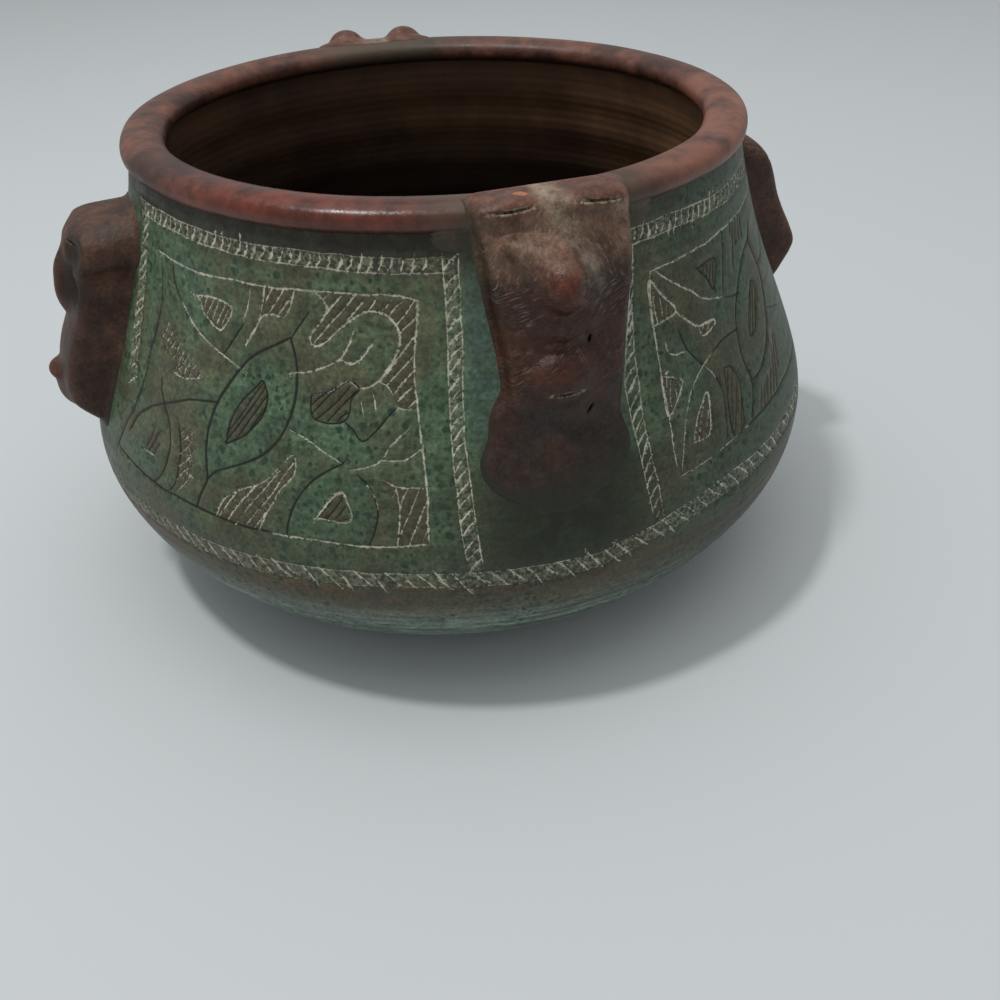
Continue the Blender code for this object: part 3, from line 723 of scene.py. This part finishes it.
# Rim: a rolled coil of clay, luted on the wall's top edge, coated with red iron slip and burnished. Its
# section is a flattened oval. Hands have polished it most to the left of the front face and worn it on the
# right, and clay of the two high faces is smeared over it.
RIM_MID, RIM_LEVEL = 93.2, 147.8
RIM_HALF, RIM_CROWN, RIM_POWER = 6.8, 4.2, 2.3
around = np.linspace(-math.pi / 2, math.pi * 1.5, 73)
lean, rise = (np.sign(part) * np.abs(part) ** (2 / RIM_POWER) for part in (np.cos(around), np.sin(around)))
section = np.stack([RIM_MID + RIM_HALF * lean, RIM_LEVEL + RIM_CROWN * rise], -1)
points, faces = spun(section[::-1], 360)
turns = np.arctan2(points[:, 0], -points[:, 1])
rim_marks = {
    "smear": sum(np.exp(-(np.angle(np.exp(1j * (turns - at))) / 0.3) ** 4) for at in (-0.02, 3.09)),
    "polish": np.exp(-((turns + 0.62) / 0.5) ** 4),
    "worn": np.exp(-((turns - 1.0) / 0.6) ** 4),
}

# Red slip, burnished: iron red, clouded to nearly black, with a soft gloss where it is polished.
red = new_material("burnished_red_slip")
where = node(red, "TexCoord", output="Object")
height = node(red, "SeparateXYZ", where, output="Z")
mark = {key: node(red, "Attribute", output="Fac", attribute_name=key) for key in rim_marks}
cloud = node(red, "TexNoise", where, 1 / (26.32 * MM), 5.0, 0.66)
wear = node(red, "TexNoise", where, 1 / (15.63 * MM), 5.0, 0.66)
blotch = node(red, "TexNoise", where, 1 / (5.882 * MM), 5.0, 0.68)
burnt = node(red, "Mix", mark["polish"], linear("#3f261d"), linear("#3c1c14"), **COLOUR)
bright = node(red, "Mix", mark["polish"], linear("#734939"), linear("#683224"), **COLOUR)
colour = coat(red, burnt, bright, 1.0, cloud, 0.36, 0.64)
colour = shade(red, colour, blotch, 0.3, 0.7, 0.52, 1.48)
colour = coat(red, colour, linear("#8f5c49"), mark["worn"], wear, 0.36, 0.62, 0.0, 0.75)
colour = coat(red, colour, linear("#4a4031"), mark["smear"], blotch, 0.3, 0.55, 0.5, 0.95)
# painted shade on the rim's underside
rim_underside_shade = node(red, "MapRange", height, 147.2 * MM, 144.6 * MM, **SOFT)
colour = coat(red, colour, linear("#2b1e14"), rim_underside_shade, blotch, 0.28, 0.55, 0.4, 0.95)
rough = node(red, "MapRange", blotch, 0.3, 0.7, 0.34, 0.56)
rough = node(red, "Math", rough, node(red, "Math", mark["polish"], 0.18, **TIMES), **LESS)
relief = node(red, "Bump", Strength=0.5, Distance=0.4 * MM, Height=blotch)
node(red, "OutputMaterial", node(red, "BsdfPrincipled", colour, Roughness=rough, IOR=1.45, Normal=relief))

rim = solid("rim", points, faces, red, rim_marks)
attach(rim, "root")
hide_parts("rim_coil")


# Faces: four lumps of clay, luted on the wall and modelled into masks, with noses, lids and lips laid on and
# slit by a blade. The front and back ones reach over the rim, and the side ones end below it. Sizes are
# millimetres across, out and up in each face's own upright plane.
BLOCK_START = 92.5


def blend(a, b, soft):
    """The nearer of two surfaces, with a rounded meeting."""
    part = np.clip(0.5 + 0.5 * (b - a) / soft, 0, 1)
    return b + (a - b) * part - soft * part * (1 - part)


def carve(a, b, soft):
    """A surface with another taken out of it, with a rounded edge."""
    return -blend(-a, b, soft)


def egg(p, centre, radii, tilt=0.0):
    """Distance to an egg that lies across the face, turned in its plane."""
    x, o, z = (q - c for q, c in zip(p, centre))
    c, s = math.cos(tilt), math.sin(tilt)
    q = ((x * c + z * s) / radii[0], o / radii[1], (z * c - x * s) / radii[2])
    near = np.sqrt(q[0] ** 2 + q[1] ** 2 + q[2] ** 2) + 1e-9
    pull = np.sqrt((q[0] / radii[0]) ** 2 + (q[1] / radii[1]) ** 2 + (q[2] / radii[2]) ** 2) + 1e-9
    return near * (near - 1) / pull


def vessel_skin(x, o, z, facing):
    """Distance from the bowl and rim, below zero inside them."""
    r, turn = np.hypot(x, o), facing + np.arctan2(x, o)
    stray = uneven(turn, z)
    radius, lean = (np.interp(z, outline[::-1, 1], v[::-1]) for v in (outline[:, 0], -slope[:, 1]))
    bowl = np.maximum((r - radius - stray) * lean, z - SEAT)
    aside, above = np.abs((r - RIM_MID - stray) / RIM_HALF), np.abs((z - RIM_LEVEL) / RIM_CROWN)
    lip = (aside**RIM_POWER + above**RIM_POWER) ** (1 / RIM_POWER)
    return np.minimum(bowl, (lip - 1) * RIM_CROWN)


def mask(face, p):
    """Distance from the modelled lump alone."""
    x, o, z = p
    rows = np.array(face["rows"], float)
    rows = through(rows[::-1])
    middle, half, front = (np.interp(z, rows[:, 0], rows[:, k]) for k in (1, 2, 3))
    off = x - middle
    lump = carve(np.abs(off) - half, -(o - front + face["crown"] * (off / half) ** 2), face["round"])
    lump = carve(lump, -(z - face["top"] - face["fall"] * (o - 100)), face["brow"])
    lump = carve(lump, -(BLOCK_START - o), 2)
    for centre, radii, soft, *tilt in face["hollows"]:
        lump = carve(lump, egg(p, centre, radii, *tilt), soft)
    for centre, radii, soft, *tilt in face["lumps"]:
        lump = blend(lump, egg(p, centre, radii, *tilt), soft)
    return lump


def surface_at(face, x, z):
    """How far out a face's surface lies at a place across and up."""
    o = np.linspace(150, 90, 1200)
    line = (np.full_like(o, x), o, np.full_like(o, z))
    in_clay = blend(mask(face, line), vessel_skin(*line, face["facing"]), face["fillet"]) < 0
    return o[np.argmax(in_clay)]


def skinned(distance, low, step):
    """Points and quads of the surface where a distance on a grid changes sign, a point to a crossed cell."""
    in_clay = distance < 0
    count = sum(in_clay[i:i - 1 or None, j:j - 1 or None, k:k - 1 or None].astype(np.int8)
                for i in (0, 1) for j in (0, 1) for k in (0, 1))
    cells = np.argwhere((count > 0) & (count < 8))
    number = np.full(count.shape, -1, np.int32)
    number[tuple(cells.T)] = np.arange(len(cells))
    total, hits = np.zeros((len(cells), 3)), np.zeros(len(cells))
    for axis in range(3):
        others = [k for k in range(3) if k != axis]
        for a in (0, 1):
            for b in (0, 1):
                near = cells.copy()
                near[:, others[0]] += a
                near[:, others[1]] += b
                far = near.copy()
                far[:, axis] += 1
                at_near, at_far = distance[tuple(near.T)], distance[tuple(far.T)]
                cross = (at_near < 0) != (at_far < 0)
                place = near.astype(float)
                place[:, axis] += np.where(cross, at_near / np.where(cross, at_near - at_far, 1), 0)
                total[cross] += place[cross]
                hits += cross
    points = np.array(low) + step * total / hits[:, None]
    quads = []
    for axis in range(3):
        b, c = (axis + 1) % 3, (axis + 2) % 3
        here = [slice(1, -1)] * 3
        here[axis] = slice(0, -1)
        there = list(here)
        there[axis] = slice(1, None)
        first = in_clay[tuple(here)]
        cross = np.argwhere(first != in_clay[tuple(there)])
        flip = first[tuple(cross.T)]
        cross[:, b] += 1
        cross[:, c] += 1
        corners = []
        for db, dc in ((-1, -1), (0, -1), (0, 0), (-1, 0)):
            cell = cross.copy()
            cell[:, b] += db
            cell[:, c] += dc
            corners.append(number[tuple(cell.T)])
        corners = np.stack(corners, -1)
        quads.append(np.where(flip[:, None], corners, corners[:, ::-1]))
    return points, np.vstack(quads)


# A face's rows go down it as (height, middle, half width, out), for the block of clay. Hollows are pressed
# into it and lumps laid on it, each as (centre, radii, softness of the edge, tilt). Slits are (place, half
# length, tilt). Finish says how far a face is combed, polished and dusted.
FRONT = {
    "facing": math.radians(-0.5), "finish": 1.0, "top": 152.6, "fall": -0.12,
    "crown": 2.2, "round": 2.8, "brow": 3.5, "fillet": 2.6,
    "rows": [
        (154, 0.9, 20.8, 101.6), (147, 0.9, 20.5, 104.8), (142, 1.1, 20.2, 107.2), (137, 1.2, 19.8, 109),
        (131, 1.3, 19.2, 110.4), (124, 1.2, 18.4, 111.5), (118, 0.9, 17.4, 112.6), (111, 0.9, 16.9, 114.2),
        (105, 0.5, 16.4, 115.3), (101, 0, 16, 115.5), (95, -1.6, 16.2, 116), (92, -2.8, 17.8, 116.9),
        (88, -4.0, 20.2, 118.4), (84, -4.2, 20.4, 119.9), (80, -4, 18.6, 121), (77, -3.6, 15.4, 121.8),
        (74.5, -3.4, 11, 122.2),
    ],
    "hollows": [
        ((-11, 115.4, 131.4), (5, 4.6, 6), 3.0, 0.2), ((13, 116, 131), (3.6, 3.8, 8), 4.0),
        ((0.4, 110.2, 147.5), (2.2, 3.6, 5), 2.5),
    ],
    "sockets": 2,
    # cheeks, nose, two parts of its ridge, upper lip, mouth and a flare at the foot
    "lumps": [
        ((-1.5, 106.4, 130), (12.5, 8, 13.5), 3.0), ((-1.6, 112.9, 133.4), (6.0, 6.6, 7.2), 2.2),
        ((-5.4, 109.0, 138), (5.5, 5, 4.6), 3.0, -0.6), ((-8, 107.2, 140.6), (8, 4.6, 3.6), 3.0, -0.5),
        ((0, 109.8, 122.4), (11, 5, 5.6), 1.4), ((-2, 112.8, 107), (9.6, 5.4, 8.6), 1.4),
        ((-16.9, 109.6, 85.4), (5.6, 6, 15.5), 5.0),
    ],
    # eyes and mouth, and then two pits
    "slits": [
        ((-11.7, 151.3), 8.0, 0.02), ((12.0, 150.8), 8.0, -0.06), ((-1.7, 104.9), 4.8, -0.02),
        ((6.3, 117.4), 1.2, 1.2), ((5.8, 97.8), 1.7, 0.9),
    ],
    "nose": (-1.5, 134.5), "lips": (-2.0, 106.5), "chip": None,
}
LEFT = {
    "facing": math.radians(-89.0), "finish": 0.2, "top": 133.4, "fall": -0.05,
    "crown": 2.4, "round": 3.2, "brow": 14.0, "fillet": 2.2,
    "rows": [
        (140, 0, 16.5, 119), (136, 0, 17.2, 120.2), (132, 0, 18, 122.4), (127, 0, 18.6, 123.6),
        (123, 0, 18.6, 123.3), (120.6, 0, 17.9, 123.1), (118.4, 0, 16.0, 123.1), (116, 0, 14.8, 123.1),
        (110, 0, 14.3, 124), (104, 0, 15.2, 125.5), (98, 0, 16.5, 128.4), (93, 0, 16.8, 130.8),
        (88, 0, 16.8, 132.5), (83, 0, 16.8, 133.5), (79, 0, 16.8, 133.5), (76, 0, 16.8, 132.4),
        (73, 0, 16.7, 130), (70, 0, 16.5, 127.2), (66, 0, 16, 124.4), (60, 0, 15, 122),
    ],
    "hollows": [((side * 9.6, 128.6, 115), (5.2, 8.8, 9), 1.2) for side in (-1, 1)]
               + [((side * 14, 123.8, 125.2), (6.0, 5.6, 4.8), 3.5) for side in (-1, 1)],
    "sockets": 4,
    # nose, its tip, upper lip and chin
    "lumps": [
        ((0, 119.4, 112), (5.4, 8.4, 12), 2.5), ((0, 122.9, 107.6), (4.8, 5.2, 6.8), 2.5),
        ((0, 132.6, 83.8), (6.4, 4.3, 2.7), 1.5), ((0, 128.8, 77.5), (10, 6.6, 7), 4.0),
    ],
    "slits": [((-9.4, 126.8), 4.4, 0.16), ((9.4, 126.8), 4.4, -0.16), ((0.0, 81.6), 4.4, 0.0)],
    "nose": (0.0, 111.5), "lips": (0.0, 83.5), "chip": None,
}
RIGHT = {
    **LEFT, "facing": math.radians(88.0), "top": 131.8, "brow": 12.0,
    "rows": [
        (136, 0, 15, 114), (133, 0, 15.6, 115.4), (129, 0, 16.2, 117.4), (124, 0, 16.4, 119.6),
        (117, 0, 16.2, 122.4), (111, 0, 15.2, 125), (104, 0, 15.2, 128), (97, 0, 16, 131.6),
        (91, 0, 16.2, 134.2), (87, 0, 16.2, 133.4), (83, 0, 16.4, 131), (79, 0, 16.6, 128.4),
        (75, 0, 16.6, 125), (70, 0, 16, 121),
    ],
    "hollows": [((side * 9.4, 126.4, 113), (3.8, 5.4, 8), 2.0) for side in (-1, 1)],
    "lumps": [
        ((0, 119.5, 110), (5.8, 7.8, 11), 2.5), ((0, 122.4, 107.5), (5.2, 5, 6), 3.0),
        ((0, 132.4, 90.5), (7.2, 3.8, 3.2), 1.5),
    ],
    "slits": [((-10, 123), 5.4, 0.16), ((10, 123), 5.4, -0.16), ((0.0, 89), 4.4, 0.0)],
    "nose": (0.0, 108.5), "lips": (0.0, 90.5),
}
# the back face has bulging lids, and the front one flat lids, webs smeared to the rim, and a chip in one lid
BACK = {
    **FRONT, "facing": math.radians(177.0), "top": 151.6,
    "lumps": FRONT["lumps"] + [
        ((-12.0, 100.2, 150.4), (6.6, 5, 5.0), 2.5), ((11.0, 100.2, 150.6), (6.6, 5, 5.2), 2.5),
    ],
    "slits": [((-12.0, 151.4), 5.2, 0.06), ((11.0, 151.6), 5.2, -0.06), FRONT["slits"][2]],
}
FRONT["lumps"] = FRONT["lumps"][:-1] + [
    ((-11.8, 101.2, 150.2), (8.4, 4.0, 3.4), 3.0), ((12, 101.2, 149.8), (8.4, 4.0, 3.4), 3.0),
    FRONT["lumps"][-1],
    ((-22.4, 92.4, 143.4), (6.5, 3.8, 4.2), 3.0), ((23.8, 92.2, 143.4), (7, 3.8, 4.2), 3.0),
]
FRONT["chip"] = ((-7.6, 98.6, 152.4), (1.9, 1.7, 1.5), 0.3)

# the grid's step, margin and start, the blade's half depth and half width, and the thin edge at the wall
STEP, MARGIN, NEAREST = 0.4, 4, 89.0
BLADE = (1.8, 0.36)
FEATHER, DIP, THINNEST = 0.25, 0.4, 0.03


def face_mesh(face):
    """Points (across, out, up) and quads of the clay outside the bowl and rim, and the blade's cuts."""
    rows = np.array(face["rows"], float)
    wide = max(rows[:, 2].max() + 2 * MARGIN, max(abs(c[0]) + r[0] for c, r, *_ in face["lumps"]) + MARGIN)
    front = max(rows[:, 3].max(), max(c[1] + r[1] for c, r, *_ in face["lumps"])) + MARGIN
    low = np.array([-wide, NEAREST, rows[:, 0].min() - MARGIN])
    high = np.array([wide, front, max(face["top"], RIM_LEVEL + RIM_CROWN) + 2 * MARGIN])
    grid = np.meshgrid(*(np.arange(a, b, STEP, dtype=np.float32) for a, b in zip(low, high)), indexing="ij")
    bowl = vessel_skin(*grid, face["facing"])
    clay = blend(mask(face, grid), bowl, face["fillet"])
    blade_cuts = [
        ((x, surface_at(face, x, z), z), (long, *BLADE), tilt) for (x, z), long, tilt in face["slits"]
    ]
    for cut in blade_cuts:
        clay = carve(clay, egg(grid, *cut), 0.3)
    # where the clay thins out to the wall, its surface dips just below the wall's
    apart = np.clip((bowl - clay) / FEATHER, 0, 1)
    points, quads = skinned(clay + DIP * (1 - apart * apart * (3 - 2 * apart)), low, STEP)
    bowl = vessel_skin(*points.T, face["facing"])
    shown = bowl - blend(mask(face, points.T), bowl, face["fillet"]) > THINNEST
    used, quads = np.unique(quads[shown[quads].any(1)], return_inverse=True)
    return points[used].T, quads.reshape(-1, 4), blade_cuts


def face_marks(face, x, o, z, blade_cuts):
    """Values on a face's points: where its clay is warm, dusty, combed or cut, and where shade is painted."""
    finish = face["finish"]
    (nose_x, nose_z), (lips_x, lips_z) = face["nose"], face["lips"]
    from_nose = np.hypot(x - nose_x, z - nose_z)
    lids = np.clip((z - 149) / 2, 0, 1) * np.clip((np.abs(x - 0.4) - 3.2) / 3, 0, 1) * (np.abs(x) < 22)
    sandy = np.exp(-((x + 22) / 5) ** 2 - ((z - 87) / 7) ** 2)
    lips = np.exp(-((x - lips_x) / 8) ** 2 - ((z - lips_z - 2) / 5) ** 2)
    warm = 0.8 * np.exp(-(from_nose / 6.5) ** 2) + 0.6 * lips + finish * (0.6 * lids + 0.6 * sandy)
    near_cut = [np.clip(0.8 - egg((x, o, z), *cut) / 0.6, 0, 1) for cut in blade_cuts]
    # painted shade in the sockets
    sockets = [np.clip(1.2 - egg((x, o, z), centre, radii, *tilt) / 2.5, 0, 1) * (1 - 0.8 * finish)
               for centre, radii, _, *tilt in face["hollows"][:face["sockets"]]]
    chip = np.zeros(len(x))
    if face["chip"]:
        chip = np.clip(1.6 - egg((x, o, z), *face["chip"]) / 0.8, 0, 2) / 2
    parting = np.interp(z, [120, 128, 136, 144, 152], [14, 11, 7, 3, -0.5])
    dust = 0.5 * np.exp(-((x - parting) / 2.8) ** 2) + 0.06 * np.clip(from_nose / 9 - 0.4, 0, 1)
    rows = np.array(face["rows"][::-1], float)
    middle, half = (np.interp(z, rows[:, 0], rows[:, k]) for k in (1, 2))
    bowl = vessel_skin(x, o, z, face["facing"])
    combed = np.clip((z - lips_z + 6) / 10, 0, 1) * np.clip(from_nose / 8, 0, 1)
    combed *= np.clip((152.2 - z) / 3, 0.1, 1) * np.clip((z - 96) / 40, 0.65, 1)
    # the comb's scratches run steeply beside the nose and nearly level under it
    side, off, above = np.where(x < nose_x, -1.0, 1.0), np.abs(x - nose_x), z - nose_z
    steep = np.stack([off * 2.2 + above * 1.3, above * 0.26 - off * 0.15, side * 3])
    level = np.stack([above * 2.5 - off * side * 1.3, off * side * 0.25 + above * 0.13, side * 5])
    return {
        "warm": np.clip(warm, 0, 1),
        "slit": finish * np.max(near_cut[:3], axis=0),
        "deep": np.max(near_cut[3:] + sockets, axis=0),
        "chip": chip,
        "dust": np.clip(finish * np.clip((z - 127) / 9, 0, 1) * dust, 0, 1),
        # the front and back faces are paler clay towards the top, partly painted light from above; the side
        # ones are a little paler all over
        "pale_top_and_light": finish * np.clip((z - 132.5) / 13.5, 0, 1) * (1 - 0.4 * lids) + 0.22 * (1 - finish),
        "web": np.clip((np.abs(x - middle) - half + 0.5) / 2, 0, 1) * np.clip((z - 126) / 8, 0, 1),
        "polish": finish * (1 + 0.9 * np.exp(-(from_nose / 7) ** 2)),
        "grey": finish * np.clip((112 - z) / 14, 0, 1),
        "edge": np.clip(1 - bowl / 1.8, 0, 1) * np.clip((98 - z) / 12, 0, 1),
        "combed": finish * combed,
        "comb": np.where(above + 0.25 * off > 1.5, steep, level).T,
    }


# Brown clay, smoked and rubbed: dull red-brown, darkest low down, with painted shade in the sockets and pits,
# paler and dusty on the brow, where painted light from above also pales it, with light scratches about 0.4 mm
# apart from a comb, and a faint gloss on the nose.
brown = new_material("smoked_brown_clay")
where = node(brown, "TexCoord", output="Object")
keys = ("warm", "slit", "deep", "chip", "dust", "pale_top_and_light", "web", "polish", "grey", "edge", "combed")
mark = {key: node(brown, "Attribute", output="Fac", attribute_name=key) for key in keys}
comb = node(brown, "Attribute", output="Vector", attribute_name="comb")
cloud = node(brown, "TexNoise", where, 1 / (16.67 * MM), 5.0, 0.62)
cloud = node(brown, "MapRange", cloud, 0.34, 0.66, **SOFT)
blotch = node(brown, "TexNoise", where, 1 / (4.762 * MM), 5.0, 0.7)
grain = node(brown, "TexNoise", where, 1 / (1.111 * MM), 3.0, 0.7)
hairs = node(brown, "TexNoise", comb, 1.0, 3.0, 0.6)
# each clay colour is paler where the top of a face takes painted light from above
dark, pale, ruddy = (
    node(brown, "Mix", mark["pale_top_and_light"], linear(low), linear(high), **COLOUR)
    for low, high in (("#2c1a12", "#604637"), ("#45281b", "#826553"), ("#57291b", "#603021"))
)
colour = node(brown, "Mix", cloud, dark, pale, **COLOUR)
colour = node(brown, "Mix", mark["warm"], colour, ruddy, **COLOUR)
colour = coat(brown, colour, linear("#8b8270"), mark["dust"], blotch, 0.3, 0.62, 0.35, 1.0)
colour = coat(brown, colour, linear("#2e2722"), mark["grey"], cloud, 0.2, 0.9, 0.9, 0.5)
colour = shade(brown, colour, blotch, 0.3, 0.7, 0.48, 1.55)
colour = shade(brown, colour, grain, 0.3, 0.7, 0.68, 1.34)
light = node(brown, "Math", node(brown, "MapRange", hairs, 0.54, 0.66, **SOFT), mark["combed"], **TIMES)
strands = node(brown, "TexNoise", where, 1 / (11.11 * MM), 4.0, 0.6)
colour = coat(brown, colour, linear("#94867a"), light, strands, 0.42, 0.6, 0.16, 0.7)
ragged = node(brown, "Math", mark["edge"], node(brown, "MapRange", cloud, 0.0, 1.0, -0.2, 0.2), **PLUS)
colour = coat(brown, colour, linear("#282b1f"), 1.0, ragged, 0.2, 0.8)
colour = coat(brown, colour, linear("#403c2d"), mark["web"], blotch, 0.3, 0.55, 0.6, 1.0)
# painted shade in the sockets and pits
recess_shade_amount = node(brown, "Math", mark["deep"], 0.9, **TIMES)
colour = node(brown, "Mix", recess_shade_amount, colour, linear("#171610"), **COLOUR)
chipped = node(brown, "Math", mark["chip"], node(brown, "MapRange", grain, 0.3, 0.7, -0.2, 0.2), **PLUS)
colour = coat(brown, colour, linear("#b06a42"), 1.0, chipped, 0.45, 0.6)
filling = node(brown, "TexNoise", where, 1 / (1.111 * MM), 4.0, 0.6)
colour = coat(brown, colour, linear("#a3a385"), mark["slit"], filling, 0.4, 0.6, 0.05, 0.9)
rough = node(brown, "MapRange", blotch, 0.3, 0.7, 0.46, 0.66)
rough = node(brown, "Math", rough, node(brown, "Math", mark["polish"], 0.2, **TIMES), **LESS)
scored = node(brown, "Math", node(brown, "Math", hairs, mark["combed"], **TIMES), 0.25, **TIMES)
lumpy = node(brown, "Math", scored, node(brown, "Math", blotch, 0.65, **TIMES), **PLUS)
relief = node(brown, "Bump", Strength=0.9, Distance=1.1 * MM, Height=lumpy)
# bare clay is more porous than slip, so it shines less
dull = {"IOR": 1.42, "Specular IOR Level": 0.4}
skin = node(brown, "BsdfPrincipled", colour, Roughness=rough, Normal=relief, **dull)
node(brown, "OutputMaterial", skin)

for name, face in (("front", FRONT), ("back", BACK), ("left", LEFT), ("right", RIGHT)):
    (x, o, z), quads, blade_cuts = face_mesh(face)
    c, s = math.cos(face["facing"]), math.sin(face["facing"])
    points = np.stack([x * c + o * s, x * s - o * c, z], -1) * MM
    modelled = solid(name + "_face", points, quads, brown, face_marks(face, x, o, z, blade_cuts))
    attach(modelled, "root")
    nodes = ("pad", "nose", "mouth", "left_eye", "right_eye")
    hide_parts(*(f"{name}_face_{piece}" for piece in nodes))


# Studio: a pale painted floor, an even surround, a large soft lamp overhead and a small one at the left,
# which gives the shine on the rim and the edge of the shadow. The colours render about as they are written.
painted = new_material("pale_floor_paint")
node(painted, "OutputMaterial", node(painted, "BsdfPrincipled", linear("#cdd2d3"), Roughness=0.8))
floor = solid("floor", [(-4, -4, 0), (4, -4, 0), (4, 4, 0), (-4, 4, 0)], [(0, 1, 2, 3)], painted)
scene = bpy.context.scene
scene.world = bpy.data.worlds.new("surround")
scene.world.use_nodes = True
backdrop = scene.world.node_tree.nodes["Background"]
backdrop.inputs["Color"].default_value = (0.96, 0.98, 1.0, 1.0)
backdrop.inputs["Strength"].default_value = 0.41
for name, place, aim, size, power in (
    ("soft_top", (0.1, 0.1, 1.5), (0.05, 0.0, 0.06), 2.0, 7.5),
    ("small_left", (-0.48, -0.07, 1.42), (0.0, 0.0, 0.06), 0.14, 7.5),
):
    lamp = bpy.data.lights.new(name, "AREA")
    lamp.shape = "DISK"
    lamp.size = size
    lamp.energy = power
    hung = bpy.data.objects.new(name, lamp)
    hung.location = place
    hung.rotation_euler = (Vector(aim) - Vector(place)).to_track_quat("-Z", "Y").to_euler()
    scene.collection.objects.link(hung)
scene.view_settings.view_transform = "Standard"

# Viewpoint: a hand-held close shot from above, a little to the left of the front face, with a slight roll.
view = bpy.data.cameras.new("close_shot")
view.sensor_width = 36.0
view.lens = 37.81
view.clip_start = 10 * MM
eye = bpy.data.objects.new("close_shot", view)
eye.location = (-99.33 * MM, -339.69 * MM, 242.61 * MM)
eye.rotation_euler = [math.radians(angle) for angle in (54.666, 1.589, -20.128)]
scene.collection.objects.link(eye)
scene.camera = eye
